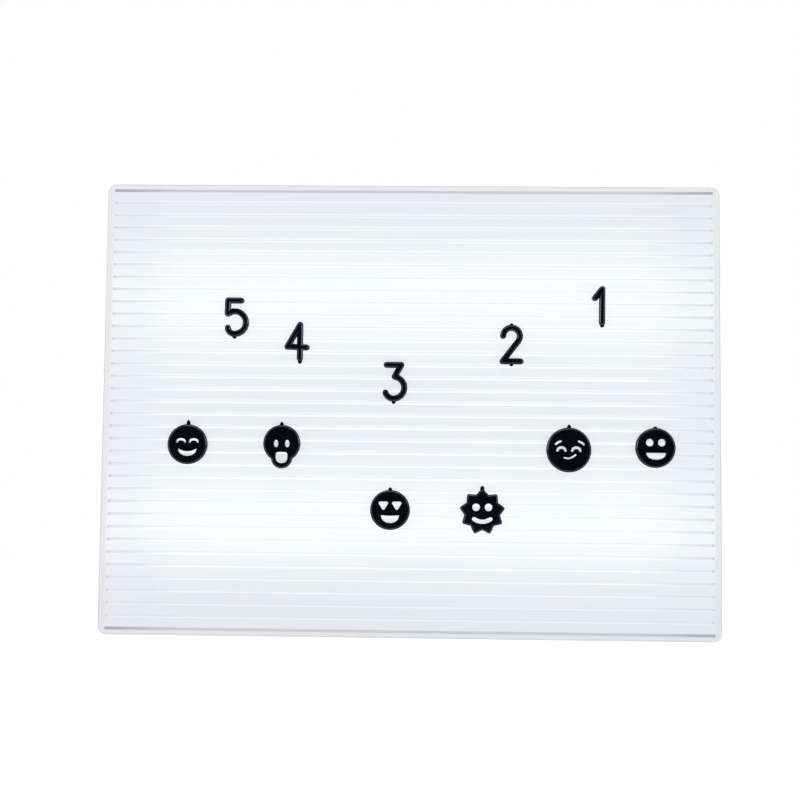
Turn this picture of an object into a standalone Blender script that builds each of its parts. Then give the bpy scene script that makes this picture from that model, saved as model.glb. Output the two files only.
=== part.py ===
"""Letter light box: a lit white panel with grooves that black letters and faces push into.

The box stands on its bottom edge. Its front faces -Y, +Z is up, and the origin is the middle
of the surface that it stands on. Sizes are in metres.
"""
import math

import bmesh
import bpy
from mathutils import Matrix, Vector

# Whole box
BOX_WIDTH = 0.300
BOX_HEIGHT = 0.220
BOX_DEPTH = 0.042
CORNER_RADIUS = 0.004
FRONT_EDGE_RADIUS = 0.001
BACK_EDGE_RADIUS = 0.003
WALL = 0.0024
SEAT_GAP = 0.0003

# Letter panel and the lap joint between the panel's skirt and the rear housing
PANEL_THICKNESS = 0.0036
SKIRT_DEPTH = 0.012
LAP_DEPTH = 0.003
TONGUE_THICKNESS = 0.00105
GROOVE_COUNT = 36
GROOVE_WIDTH = 0.0016
GROOVE_DEPTH = 0.0022
GROOVE_LEAD_IN = 0.0003
FIRST_GROOVE_MARGIN = 0.00315
GROOVE_END_MARGIN = 0.0033

# Letters, numbers and faces
CHARACTER_THICKNESS = 0.0019
CHARACTER_LAND = 0.0003
CHARACTER_CHAMFER = 0.0005
STROKE_WIDTH = 0.00295
DIGIT_RISE = 0.0164
PEG_WIDTH = 0.0018
PEG_SIDE_CLEARANCE = 0.0003
PEG_TIP_CLEARANCE = 0.0004
FACE_PEG_SPREAD = 0.74
NUB_WIDTH = 0.0022
NUB_THICKNESS = 0.0009
NUB_LENGTH = 0.001
LAUGHING_RADIUS = 0.0097
SHOCKED_RADIUS = 0.0090
SHOCKED_JAW_RADIUS = 0.0051
SHOCKED_JAW_DROP = 0.0070
HEART_EYES_RADIUS = 0.0096
SUN_RADIUS = 0.00875
SUN_POINT_RADIUS = 0.0113
SUN_POINTS = 9
SUN_TIP_TURN = 3.5
SMIRKING_RADIUS = 0.0108
GRINNING_RADIUS = 0.0096

# Where the characters are pushed in: middle along X, a groove, and the height above that groove
# of a number's lowest centre line or of a face's middle
DIGIT_PLACES = {
    "digit_5": (-0.0848, 12, 0.00233),
    "digit_4": (-0.0555, 14, 0.00288),
    "digit_3": (-0.0080, 17, 0.00197),
    "digit_2": (0.0488, 14, 0.00225),
    "digit_1": (0.0926, 11, 0.00304),
}
FACE_PLACES = {
    "face_laughing": (-0.1077, 20, -0.00266),
    "face_shocked": (-0.0619, 20, -0.00187),
    "face_heart_eyes": (-0.0092, 25, -0.00282),
    "face_sun": (0.0351, 25, -0.00325),
    "face_smirking": (0.0765, 20, -0.00367),
    "face_grinning": (0.1180, 20, -0.00230),
}

# Screws that close the box, and their bosses
SCREW_INSET = 0.011
SCREW_SHANK_RADIUS = 0.0012
SCREW_HEAD_RADIUS = 0.0026
SCREW_HEAD_HEIGHT = 0.0018
SCREW_LENGTH = 0.0095
HOUSING_BOSS_RADIUS = 0.0044
PANEL_BOSS_RADIUS = 0.0036
BOSS_FLOOR = 0.003
BOSS_OVERHANG = 0.0017
SCREW_CLEARANCE = 0.0003
HEAD_CLEARANCE = 0.0005
RECESS_WIDTH = 0.0007
RECESS_SPAN = 0.0030
RECESS_DEPTH = 0.0009

# Light strips
STRIP_HEIGHT_SHARE = 0.25
STRIP_LENGTH = 0.260
STRIP_WIDTH = 0.008
STRIP_THICKNESS = 0.001
LED_COUNT = 7
LED_PITCH = 0.039
LED_SIZE = 0.005
LED_THICKNESS = 0.0016
LED_WELL_RADIUS = 0.0019
LED_WELL_DEPTH = 0.0006

# Cells and battery bay
CELL_RADIUS = 0.0071
CELL_LENGTH = 0.0505
CELL_NUB_RADIUS = 0.00275
CELL_NUB_HEIGHT = 0.0011
CELL_COUNT = 3
CELL_SIDE_CLEARANCE = 0.0005
CELL_DEPTH_CLEARANCE = 0.0004
CONTACT_THICKNESS = 0.0005
CONTACT_WIDTH = 0.009
CONTACT_SPREAD = 0.011
SPRING_LENGTH = 0.005
SPRING_BASE_RADIUS = 0.0042
SPRING_TIP_RADIUS = 0.0026
SPRING_WIRE_RADIUS = 0.0004
SPRING_TURNS = 2.5
BAY_WALL = 0.0024
BAY_END_WALL = 0.0032
BAY_FLOOR = 0.0016

# Battery door
DOOR_THICKNESS = 0.002
DOOR_GAP = 0.0004
DOOR_LEDGE = 0.0016
DOOR_CORNER_RADIUS = 0.0015
HOOK_WIDTH = 0.008
HOOK_OFFSET = 0.012
HOOK_THICKNESS = 0.0012
HOOK_REACH = 0.0019
HOOK_HEIGHT = 0.0034
LATCH_WIDTH = 0.013
LATCH_LENGTH = 0.010
LATCH_SLIT = 0.0009
NOSE_WIDTH = 0.011
NOSE_HEIGHT = 0.0022
NOSE_DEPTH = 0.0022
SCOOP_RADIUS = 0.0075
SCOOP_DEPTH = 0.0012
GRIP_COUNT = 3
GRIP_PITCH = 0.0021
GRIP_DEPTH = 0.0004

# Control board, switch and charging socket
BOARD_WIDTH = 0.040
BOARD_HEIGHT = 0.022
BOARD_THICKNESS = 0.0016
BOARD_TO_BAY = 0.022
BOARD_DROP = 0.015
POST_RADIUS = 0.0026
POST_INSET = 0.0035
BOARD_SCREW_RADIUS = 0.0008
BOARD_SCREW_LENGTH = 0.0045
BOARD_SCREW_HEAD_RADIUS = 0.0017
BOARD_SCREW_HEAD_HEIGHT = 0.0011
SWITCH_OFFSET = 0.008
SWITCH_WIDTH = 0.0086
SWITCH_HEIGHT = 0.0040
SWITCH_BODY_DEPTH = 0.0035
SWITCH_TRAVEL = 0.003
KNOB_WIDTH = 0.005
KNOB_HEIGHT = 0.004
KNOB_PROUD = 0.0005
KNOB_STEM_WIDTH = 0.0018
KNOB_STEM_HEIGHT = 0.0016
KNOB_RIB_DEPTH = 0.0004
SWITCH_RECESS_DEPTH = 0.0012
SWITCH_RECESS_RIM = 0.0010
RUNNING_GAP = 0.0003
SOCKET_OFFSET = 0.010
SOCKET_WIDTH = 0.0076
SOCKET_HEIGHT = 0.0028
SOCKET_SHELL = 0.0004
SOCKET_SUNK = 0.0005
SOCKET_MOUTH_DEPTH = 0.0045
SOCKET_TONGUE_WIDTH = 0.0040
SOCKET_TONGUE_THICKNESS = 0.0006

# Keyholes for two wall screws
KEYHOLE_SPREAD = 0.160
KEYHOLE_DROP = 0.028
KEYHOLE_RADIUS = 0.0045
KEYHOLE_SLOT_WIDTH = 0.0045
KEYHOLE_SLOT_RISE = 0.009

# Wires
WIRE_RADIUS = 0.0006
WIRE_SPACING = 0.0030
WIRE_LEAD = 0.0030
WIRE_PASS = 0.0050
WIRE_BEND = 0.0060
WIRE_CLEARANCE = 0.0006

# Facets
CORNER_STEPS = 5
EDGE_STEPS = 2
ROUND_STEPS = 20
SMALL_ROUND_STEPS = 12
LED_WELL_STEPS = 8
FACE_STEPS = 36
STROKE_STEP_DEG = 24
END_STEPS = 5
CUT_MARGIN = 0.001

# Planes across the depth of the box, front to back
Y_FRONT = -BOX_DEPTH / 2
Y_BACK = BOX_DEPTH / 2
Y_PANEL_BACK = Y_FRONT + PANEL_THICKNESS
Y_SKIRT_END = Y_FRONT + SKIRT_DEPTH
Y_HOUSING_FRONT = Y_SKIRT_END + SEAT_GAP
Y_BACK_PLATE = Y_BACK - WALL
Y_HOUSING_BOSS = Y_SKIRT_END + BOSS_OVERHANG + SEAT_GAP
Y_PANEL_BOSS = Y_SKIRT_END + BOSS_OVERHANG
Y_HEAD_SEAT = Y_HOUSING_BOSS + BOSS_FLOOR
Y_STRIP_BACK = Y_BACK_PLATE - SEAT_GAP
Y_STRIP_FRONT = Y_STRIP_BACK - STRIP_THICKNESS
Y_DOOR_INSIDE = Y_BACK - DOOR_THICKNESS
Y_DOOR_LEDGE = min(Y_BACK_PLATE, Y_DOOR_INSIDE - SEAT_GAP)
Y_CELL = Y_DOOR_INSIDE - CELL_DEPTH_CLEARANCE - CELL_RADIUS
Y_BAY_FLOOR = Y_CELL - CELL_RADIUS - CELL_DEPTH_CLEARANCE
Y_SWITCH_BACK = Y_BACK_PLATE - SEAT_GAP
Y_BOARD_BACK = Y_SWITCH_BACK - SWITCH_BODY_DEPTH - SEAT_GAP
Y_BOARD_FRONT = Y_BOARD_BACK - BOARD_THICKNESS
Y_WIRE = Y_BACK_PLATE - WIRE_CLEARANCE - WIRE_RADIUS

# Places on the front, and in the battery bay
MIDDLE_Z = BOX_HEIGHT / 2
GROOVE_PITCH = (BOX_HEIGHT - 2 * FIRST_GROOVE_MARGIN) / (GROOVE_COUNT - 1)
CELL_PITCH = 2 * CELL_RADIUS + CELL_SIDE_CLEARANCE
BAY_HALF_WIDTH = CELL_COUNT * CELL_PITCH / 2 + CELL_SIDE_CLEARANCE
BAY_LENGTH = CELL_LENGTH + SPRING_LENGTH + 2 * CONTACT_THICKNESS + 5 * SEAT_GAP
BAY_BOTTOM = MIDDLE_Z - BAY_LENGTH / 2
BAY_TOP = MIDDLE_Z + BAY_LENGTH / 2
DOOR_HALF_WIDTH = BAY_HALF_WIDTH + DOOR_LEDGE
DOOR_BOTTOM = BAY_BOTTOM - DOOR_LEDGE
DOOR_LENGTH = BAY_LENGTH + 2 * DOOR_LEDGE
STRIP_RISES = {"lower": BOX_HEIGHT * STRIP_HEIGHT_SHARE, "upper": BOX_HEIGHT * (1 - STRIP_HEIGHT_SHARE)}
BOARD_X = -BAY_HALF_WIDTH - BAY_WALL - BOARD_TO_BAY - BOARD_WIDTH / 2
BOARD_Z = MIDDLE_Z - BOARD_DROP
SWITCH_X = BOARD_X + SWITCH_OFFSET
SOCKET_X = BOARD_X - SOCKET_OFFSET
SCREW_PLACES = [(side * (BOX_WIDTH / 2 - SCREW_INSET), z) for side in (-1, 1)
                for z in (SCREW_INSET, BOX_HEIGHT - SCREW_INSET)]
SCREW_PLACES += [(0.0, SCREW_INSET), (0.0, BOX_HEIGHT - SCREW_INSET)]
POST_PLACES = [(BOARD_X + side * (BOARD_WIDTH / 2 - POST_INSET),
                BOARD_Z + side * (BOARD_HEIGHT / 2 - POST_INSET)) for side in (-1, 1)]


def groove_z(row):
    """Height of a groove's middle, counted from the top groove, which is row 0."""
    return BOX_HEIGHT - FIRST_GROOVE_MARGIN - row * GROOVE_PITCH


# Scene and materials

def clear_scene():
    """Removes the objects that the scene starts with."""
    for item in list(bpy.data.objects):
        bpy.data.objects.remove(item, do_unlink=True)


def new_collection(name):
    """Adds a collection to the scene."""
    collection = bpy.data.collections.new(name)
    bpy.context.scene.collection.children.link(collection)
    return collection


def new_material(name, colour, roughness, metallic=0.0):
    """Makes a plain material."""
    material = bpy.data.materials.new(name)
    material.use_nodes = True
    shader = material.node_tree.nodes["Principled BSDF"]
    shader.inputs["Base Color"].default_value = (*colour, 1.0)
    shader.inputs["Roughness"].default_value = roughness
    shader.inputs["Metallic"].default_value = metallic
    material.diffuse_color = (*colour, 1.0)
    return material


clear_scene()
PARTS = new_collection("letter_light_box")
CUTTERS = new_collection("cutters")
PANEL_WHITE = new_material("opal_white", (0.93, 0.93, 0.96), 0.35)
HOUSING_WHITE = new_material("housing_white", (0.86, 0.86, 0.87), 0.42)
GLOSS_BLACK = new_material("gloss_black", (0.012, 0.012, 0.022), 0.22)
BOARD_WHITE = new_material("board_white", (0.85, 0.86, 0.84), 0.45)
BOARD_GREEN = new_material("board_green", (0.03, 0.20, 0.09), 0.40)
LED_CREAM = new_material("led_cream", (0.95, 0.86, 0.52), 0.30)
STEEL = new_material("steel", (0.62, 0.62, 0.64), 0.30, 1.0)
CELL_SLEEVE = new_material("cell_sleeve", (0.12, 0.15, 0.20), 0.35)
WIRE_RED = new_material("wire_red", (0.62, 0.03, 0.03), 0.45)
WIRE_BLACK = new_material("wire_black", (0.02, 0.02, 0.02), 0.45)


# Outlines, as (x, z) points that run once round

def arc(x, z, radius, start_deg, end_deg, steps):
    """Points of a round stretch from one angle to another, both counted from +X towards +Z."""
    angles = [math.radians(start_deg + (end_deg - start_deg) * step / steps) for step in range(steps + 1)]
    return [(x + radius * math.cos(angle), z + radius * math.sin(angle)) for angle in angles]


def oval(x, z, half_width, half_height, steps):
    """Points of a whole oval."""
    angles = [2 * math.pi * step / steps for step in range(steps)]
    return [(x + half_width * math.cos(angle), z + half_height * math.sin(angle)) for angle in angles]


def rectangle(x0, x1, z0, z1):
    """Corners of a rectangle."""
    return [(x0, z0), (x1, z0), (x1, z1), (x0, z1)]


def rounded_rectangle(x0, x1, z0, z1, radius, steps=CORNER_STEPS):
    """Points of a rectangle with round corners."""
    points = arc(x1 - radius, z0 + radius, radius, -90, 0, steps)
    points += arc(x1 - radius, z1 - radius, radius, 0, 90, steps)
    points += arc(x0 + radius, z1 - radius, radius, 90, 180, steps)
    points += arc(x0 + radius, z0 + radius, radius, 180, 270, steps)
    return points


def box_outline(inset):
    """The outline of the whole box, set in by a distance all round."""
    half = BOX_WIDTH / 2 - inset
    radius = max(CORNER_RADIUS - inset, CORNER_RADIUS / 4)
    return rounded_rectangle(-half, half, inset, BOX_HEIGHT - inset, radius)


def unit(start, end):
    """Direction from one point to another."""
    length = math.dist(start, end)
    return (end[0] - start[0]) / length, (end[1] - start[1]) / length


def stroke_side(path, half_width):
    """Points beside a centre line, on its left, with sharp turns rounded on their outer side."""
    points = []
    for index in range(1, len(path) - 1):
        before = unit(path[index - 1], path[index])
        after = unit(path[index], path[index + 1])
        turn = math.degrees(math.atan2(before[0] * after[1] - before[1] * after[0],
                                       before[0] * after[0] + before[1] * after[1]))
        start = math.degrees(math.atan2(before[0], -before[1]))
        x, z = path[index]
        if turn < -STROKE_STEP_DEG * 1.5:
            steps = max(2, round(-turn / STROKE_STEP_DEG))
            points += arc(x, z, half_width, start, start + turn, steps)
        else:
            reach = half_width / math.cos(math.radians(turn / 2))
            points += arc(x, z, reach, start + turn / 2, start + turn / 2, 1)[:1]
    return points


def stroke_outline(path, half_width):
    """Outline of a stroke with round ends, drawn along a centre line."""
    outline = stroke_side(path, half_width)
    last = unit(path[-2], path[-1])
    heading = math.degrees(math.atan2(last[1], last[0]))
    outline += arc(*path[-1], half_width, heading + 90, heading - 90, END_STEPS)
    back = path[::-1]
    outline += stroke_side(back, half_width)
    last = unit(back[-2], back[-1])
    heading = math.degrees(math.atan2(last[1], last[0]))
    outline += arc(*back[-1], half_width, heading + 90, heading - 90, END_STEPS)
    return outline[::-1]


# Solids

def prism(bm, outline, y_front, y_back, chamfer=0.0, land=0.0):
    """Adds a plate of the given outline, with a flat land and then a chamfer round its front face."""
    back = bm.faces.new([bm.verts.new((x, y_back, z)) for x, z in outline])
    result = bmesh.ops.extrude_face_region(bm, geom=[back], use_keep_orig=True)
    verts = [item for item in result["geom"] if isinstance(item, bmesh.types.BMVert)]
    front = [item for item in result["geom"] if isinstance(item, bmesh.types.BMFace)]
    bmesh.ops.translate(bm, vec=(0, y_front + chamfer - y_back, 0), verts=verts)
    bmesh.ops.recalc_face_normals(bm, faces=bm.faces)
    if chamfer:
        bmesh.ops.inset_region(bm, faces=front, thickness=land, depth=0.0, use_even_offset=True)
        bmesh.ops.inset_region(bm, faces=front, thickness=chamfer, depth=chamfer, use_even_offset=True)
    return front


def bar(bm, section, x0, x1):
    """Adds a bar along X whose section is a list of (y, z) points."""
    start = bm.faces.new([bm.verts.new((x0, y, z)) for y, z in section])
    result = bmesh.ops.extrude_face_region(bm, geom=[start], use_keep_orig=True)
    verts = [item for item in result["geom"] if isinstance(item, bmesh.types.BMVert)]
    bmesh.ops.translate(bm, vec=(x1 - x0, 0, 0), verts=verts)
    bmesh.ops.recalc_face_normals(bm, faces=bm.faces)


def block(bm, x0, x1, y0, y1, z0, z1):
    """Adds a rectangular block."""
    centre = Matrix.Translation(((x0 + x1) / 2, (y0 + y1) / 2, (z0 + z1) / 2))
    bmesh.ops.create_cube(bm, size=1.0, matrix=centre @ Matrix.Diagonal((x1 - x0, y1 - y0, z1 - z0, 1.0)))


def rod(bm, x, z, radius, y0, y1, steps=ROUND_STEPS):
    """Adds a cylinder whose axis runs along Y."""
    place = Matrix.Translation((x, (y0 + y1) / 2, z)) @ Matrix.Rotation(math.pi / 2, 4, "X")
    bmesh.ops.create_cone(bm, cap_ends=True, segments=steps, radius1=radius, radius2=radius,
                          depth=y1 - y0, matrix=place)


def round_rim(bm, y, radius):
    """Rounds the edges that lie wholly in the plane of the given y."""
    edges = [edge for edge in bm.edges if all(abs(vert.co.y - y) < radius * 0.01 for vert in edge.verts)]
    bmesh.ops.bevel(bm, geom=edges, offset=radius, segments=EDGE_STEPS, profile=0.5, affect="EDGES")


def add_object(name, data, material=None, place=(0, 0, 0), turn=(0, 0, 0)):
    """Links an object to the parts, or to the cutters if it has no material."""
    item = bpy.data.objects.new(name, data)
    item.location = place
    item.rotation_euler = turn
    if material:
        if not data.materials:
            data.materials.append(material)
        PARTS.objects.link(item)
    else:
        item.hide_render = True
        item.display_type = "WIRE"
        CUTTERS.objects.link(item)
    return item


def add_mesh(name, bm, material=None, place=(0, 0, 0), turn=(0, 0, 0), smooth=None):
    """Turns a bmesh into an object, shaded smooth below an angle if one is given."""
    bmesh.ops.recalc_face_normals(bm, faces=bm.faces)
    mesh = bpy.data.meshes.new(name)
    bm.to_mesh(mesh)
    bm.free()
    if smooth:
        mesh.shade_smooth()
        mesh.set_sharp_from_angle(angle=math.radians(smooth))
    return add_object(name, mesh, material, place, turn)


def combine(target, tool, operation):
    """Adds a Boolean step to an object."""
    step = target.modifiers.new(tool.name, "BOOLEAN")
    step.operation = operation
    step.solver = "EXACT"
    step.object = tool


def cut(target, tool):
    """Cuts one object out of another."""
    combine(target, tool, "DIFFERENCE")


def join(target, tool):
    """Joins one object to another."""
    combine(target, tool, "UNION")


def finished_mesh(item):
    """The mesh of an object once its modifiers have run, for copies of it to share."""
    bpy.context.view_layer.update()
    evaluated = item.evaluated_get(bpy.context.evaluated_depsgraph_get())
    mesh = bpy.data.meshes.new_from_object(evaluated)
    bpy.data.objects.remove(item, do_unlink=True)
    return mesh


def turned(name, profile, steps, material=None, place=(0, 0, 0), turn=(0, 0, 0)):
    """Turns a profile of (radius, height) points about Z; the profile runs from the top down."""
    bm = bmesh.new()
    verts = [bm.verts.new((radius, 0, height)) for radius, height in profile]
    for first, second in zip(verts, verts[1:]):
        bm.edges.new((first, second))
    mesh = bpy.data.meshes.new(name)
    bm.to_mesh(mesh)
    bm.free()
    item = add_object(name, mesh, material, place, turn)
    step = item.modifiers.new("turn", "SCREW")
    step.axis = "Z"
    step.steps = steps
    step.render_steps = steps
    step.use_merge_vertices = True
    step.merge_threshold = 0.00001
    return item


# Letter panel

def groove_section(z):
    """Section of the tool that cuts one groove, with a wider mouth that leads a peg in."""
    half = GROOVE_WIDTH / 2
    mouth = half + GROOVE_LEAD_IN
    y_out, y_lip, y_floor = Y_FRONT - CUT_MARGIN, Y_FRONT + GROOVE_LEAD_IN, Y_FRONT + GROOVE_DEPTH
    return [(y_out, z - mouth), (Y_FRONT, z - mouth), (y_lip, z - half), (y_floor, z - half),
            (y_floor, z + half), (y_lip, z + half), (Y_FRONT, z + mouth), (y_out, z + mouth)]


def make_letter_panel():
    """The moulded opal front: grooved face, plain margin, skirt and screw bosses in one piece."""
    bm = bmesh.new()
    prism(bm, box_outline(0.0), Y_FRONT, Y_SKIRT_END)
    round_rim(bm, Y_FRONT, FRONT_EDGE_RADIUS)
    panel = add_mesh("letter_panel", bm, PANEL_WHITE, smooth=30)

    bm = bmesh.new()
    prism(bm, box_outline(WALL), Y_PANEL_BACK, Y_SKIRT_END + CUT_MARGIN)
    cut(panel, add_mesh("panel_hollow", bm))

    bm = bmesh.new()
    prism(bm, box_outline(WALL - TONGUE_THICKNESS - SEAT_GAP), Y_SKIRT_END - LAP_DEPTH,
          Y_SKIRT_END + CUT_MARGIN)
    cut(panel, add_mesh("panel_rebate", bm))

    bm = bmesh.new()
    for x, z in SCREW_PLACES:
        rod(bm, x, z, PANEL_BOSS_RADIUS, Y_PANEL_BACK - CUT_MARGIN, Y_PANEL_BOSS, SMALL_ROUND_STEPS)
    join(panel, add_mesh("panel_bosses", bm))

    bm = bmesh.new()
    for x, z in SCREW_PLACES:
        rod(bm, x, z, SCREW_SHANK_RADIUS + SCREW_CLEARANCE, Y_PANEL_BACK + SEAT_GAP,
            Y_PANEL_BOSS + CUT_MARGIN, SMALL_ROUND_STEPS)
    cut(panel, add_mesh("panel_pilot_holes", bm))

    bm = bmesh.new()
    reach = BOX_WIDTH / 2 - GROOVE_END_MARGIN
    for row in range(GROOVE_COUNT):
        bar(bm, groove_section(groove_z(row)), -reach, reach)
    cut(panel, add_mesh("panel_grooves", bm))


# Rear housing

def keyhole_outline(x, z):
    """A round hole for a screw's head, with a slot above it for the screw's shank."""
    half_slot = KEYHOLE_SLOT_WIDTH / 2
    shoulder = math.degrees(math.acos(half_slot / KEYHOLE_RADIUS))
    outline = arc(x, z, KEYHOLE_RADIUS, 180 - shoulder, 360 + shoulder, ROUND_STEPS)
    outline += arc(x, z + KEYHOLE_SLOT_RISE, half_slot, 0, 180, CORNER_STEPS)
    return outline


def make_rear_housing():
    """The white tray behind the panel, with the battery bay, posts and bosses moulded in."""
    bm = bmesh.new()
    prism(bm, box_outline(0.0), Y_HOUSING_FRONT, Y_BACK)
    round_rim(bm, Y_BACK, BACK_EDGE_RADIUS)
    housing = add_mesh("rear_housing", bm, HOUSING_WHITE, smooth=30)

    bm = bmesh.new()
    prism(bm, box_outline(WALL - TONGUE_THICKNESS), Y_HOUSING_FRONT - LAP_DEPTH + SEAT_GAP,
          Y_HOUSING_FRONT + CUT_MARGIN)
    join(housing, add_mesh("housing_tongue", bm))

    bm = bmesh.new()
    prism(bm, box_outline(WALL), Y_HOUSING_FRONT - LAP_DEPTH - CUT_MARGIN, Y_BACK_PLATE)
    cut(housing, add_mesh("housing_hollow", bm))

    y_root = (Y_BACK_PLATE + Y_BACK) / 2
    bm = bmesh.new()
    block(bm, -BAY_HALF_WIDTH - BAY_WALL, BAY_HALF_WIDTH + BAY_WALL, Y_BAY_FLOOR - BAY_FLOOR, y_root,
          BAY_BOTTOM - BAY_WALL, BAY_TOP + BAY_END_WALL)
    for x, z in SCREW_PLACES:
        rod(bm, x, z, HOUSING_BOSS_RADIUS, Y_HOUSING_BOSS, y_root, ROUND_STEPS)
    for x, z in POST_PLACES:
        rod(bm, x, z, POST_RADIUS, Y_BOARD_BACK + SEAT_GAP, y_root, SMALL_ROUND_STEPS)
    join(housing, add_mesh("housing_bosses", bm))

    y_out = Y_BACK + CUT_MARGIN
    y_recess = Y_BACK - SWITCH_RECESS_DEPTH
    recess_x = KNOB_WIDTH / 2 + SWITCH_TRAVEL / 2 + SWITCH_RECESS_RIM
    recess_z = KNOB_HEIGHT / 2 + SWITCH_RECESS_RIM
    bm = bmesh.new()
    prism(bm, rectangle(-BAY_HALF_WIDTH, BAY_HALF_WIDTH, BAY_BOTTOM, BAY_TOP), Y_BAY_FLOOR, y_out)
    for x, z in SCREW_PLACES:
        rod(bm, x, z, SCREW_HEAD_RADIUS + HEAD_CLEARANCE, Y_HEAD_SEAT, y_out, ROUND_STEPS)
    for side in (-1, 1):
        prism(bm, keyhole_outline(side * KEYHOLE_SPREAD / 2, BOX_HEIGHT - KEYHOLE_DROP),
              Y_BACK_PLATE - CUT_MARGIN, y_out)
    for x, z in POST_PLACES:
        rod(bm, x, z, BOARD_SCREW_RADIUS + SCREW_CLEARANCE, Y_BOARD_BACK, Y_BACK_PLATE, SMALL_ROUND_STEPS)
    prism(bm, rounded_rectangle(SWITCH_X - recess_x, SWITCH_X + recess_x, BOARD_Z - recess_z,
                                BOARD_Z + recess_z, SWITCH_RECESS_RIM, 3), y_recess, y_out)
    socket_x = SOCKET_WIDTH / 2 + RUNNING_GAP
    socket_z = SOCKET_HEIGHT / 2 + RUNNING_GAP
    prism(bm, rounded_rectangle(SOCKET_X - socket_x, SOCKET_X + socket_x, BOARD_Z - socket_z,
                                BOARD_Z + socket_z, socket_z / 2, 3), Y_BACK_PLATE - CUT_MARGIN, y_out)
    cut(housing, add_mesh("housing_pockets", bm))

    bm = bmesh.new()
    opening = DOOR_HALF_WIDTH + DOOR_GAP
    prism(bm, rounded_rectangle(-opening, opening, DOOR_BOTTOM - DOOR_GAP, DOOR_BOTTOM + DOOR_LENGTH + DOOR_GAP,
                                DOOR_CORNER_RADIUS + DOOR_GAP, 3), Y_DOOR_LEDGE, y_out)
    for x, z in SCREW_PLACES:
        rod(bm, x, z, SCREW_SHANK_RADIUS + SCREW_CLEARANCE, Y_HOUSING_BOSS - CUT_MARGIN,
            Y_HEAD_SEAT + CUT_MARGIN, SMALL_ROUND_STEPS)
    slot_x = KNOB_STEM_WIDTH / 2 + SWITCH_TRAVEL / 2 + RUNNING_GAP
    slot_z = KNOB_STEM_HEIGHT / 2 + RUNNING_GAP
    block(bm, SWITCH_X - slot_x, SWITCH_X + slot_x, Y_BACK_PLATE - CUT_MARGIN, y_recess + CUT_MARGIN / 2,
          BOARD_Z - slot_z, BOARD_Z + slot_z)
    cut(housing, add_mesh("housing_openings", bm))

    bm = bmesh.new()
    for side in (-1, 1):
        middle = side * HOOK_OFFSET
        half = HOOK_WIDTH / 2 + DOOR_GAP
        hook_y = Y_DOOR_INSIDE - SEAT_GAP - (Y_BACK - Y_BACK_PLATE) - HOOK_THICKNESS
        block(bm, middle - half, middle + half, hook_y, Y_BACK_PLATE, BAY_BOTTOM - BAY_WALL - CUT_MARGIN,
              BAY_BOTTOM + CUT_MARGIN)
    half = NOSE_WIDTH / 2 + DOOR_GAP
    block(bm, -half, half, Y_DOOR_INSIDE - NOSE_DEPTH - DOOR_GAP, Y_DOOR_INSIDE, BAY_TOP - CUT_MARGIN,
          DOOR_BOTTOM + DOOR_LENGTH + DOOR_GAP)
    cut(housing, add_mesh("housing_catches", bm))

    bm = bmesh.new()
    rod(bm, 0.0, DOOR_BOTTOM + DOOR_LENGTH, SCOOP_RADIUS, Y_BACK - SCOOP_DEPTH, y_out, ROUND_STEPS)
    cut(housing, add_mesh("housing_scoop", bm))


# Battery door, cells and contacts

def make_battery_door():
    """The door over the cells. Its origin is its lower outside edge, the line that it swings about."""
    bm = bmesh.new()
    prism(bm, rounded_rectangle(-DOOR_HALF_WIDTH, DOOR_HALF_WIDTH, 0.0, DOOR_LENGTH, DOOR_CORNER_RADIUS, 3),
          -DOOR_THICKNESS, 0.0)
    door = add_mesh("battery_door", bm, HOUSING_WHITE, (0, Y_BACK, DOOR_BOTTOM), smooth=30)

    y_plate = -DOOR_THICKNESS
    y_hook = -WALL - SEAT_GAP
    y_root = y_plate + DOOR_THICKNESS / 4
    bm = bmesh.new()
    hook = [(y_root, DOOR_GAP), (y_root, HOOK_HEIGHT), (y_hook - HOOK_THICKNESS, HOOK_HEIGHT),
            (y_hook - HOOK_THICKNESS, -HOOK_REACH), (y_hook, -HOOK_REACH), (y_hook, DOOR_GAP)]
    for side in (-1, 1):
        bar(bm, hook, side * HOOK_OFFSET - HOOK_WIDTH / 2, side * HOOK_OFFSET + HOOK_WIDTH / 2)
    y_nose = y_plate - NOSE_DEPTH
    nose = [(y_root, DOOR_LENGTH - NOSE_HEIGHT), (y_root, DOOR_LENGTH), (y_plate - NOSE_DEPTH / 2, DOOR_LENGTH),
            (y_nose, DOOR_LENGTH - NOSE_HEIGHT / 2), (y_nose, DOOR_LENGTH - NOSE_HEIGHT)]
    bar(bm, nose, -NOSE_WIDTH / 2, NOSE_WIDTH / 2)
    join(door, add_mesh("door_hooks", bm, place=(0, Y_BACK, DOOR_BOTTOM)))

    bm = bmesh.new()
    for side in (-1, 1):
        slit = sorted((side * LATCH_WIDTH / 2, side * (LATCH_WIDTH / 2 + LATCH_SLIT)))
        block(bm, *slit, y_plate - CUT_MARGIN, CUT_MARGIN, DOOR_LENGTH - LATCH_LENGTH, DOOR_LENGTH + CUT_MARGIN)
    for index in range(GRIP_COUNT):
        z = DOOR_LENGTH - LATCH_LENGTH / 2 + (index - (GRIP_COUNT - 1) / 2) * GRIP_PITCH
        bar(bm, [(CUT_MARGIN, z - GRIP_PITCH / 3), (0, z - GRIP_PITCH / 3), (-GRIP_DEPTH, z),
                 (0, z + GRIP_PITCH / 3), (CUT_MARGIN, z + GRIP_PITCH / 3)], -LATCH_WIDTH / 3, LATCH_WIDTH / 3)
    cut(door, add_mesh("door_slits", bm, place=(0, Y_BACK, DOOR_BOTTOM)))


def cell_x(index):
    """Middle of a cell, counted from the left as the front is seen."""
    return (index - (CELL_COUNT - 1) / 2) * CELL_PITCH


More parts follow.
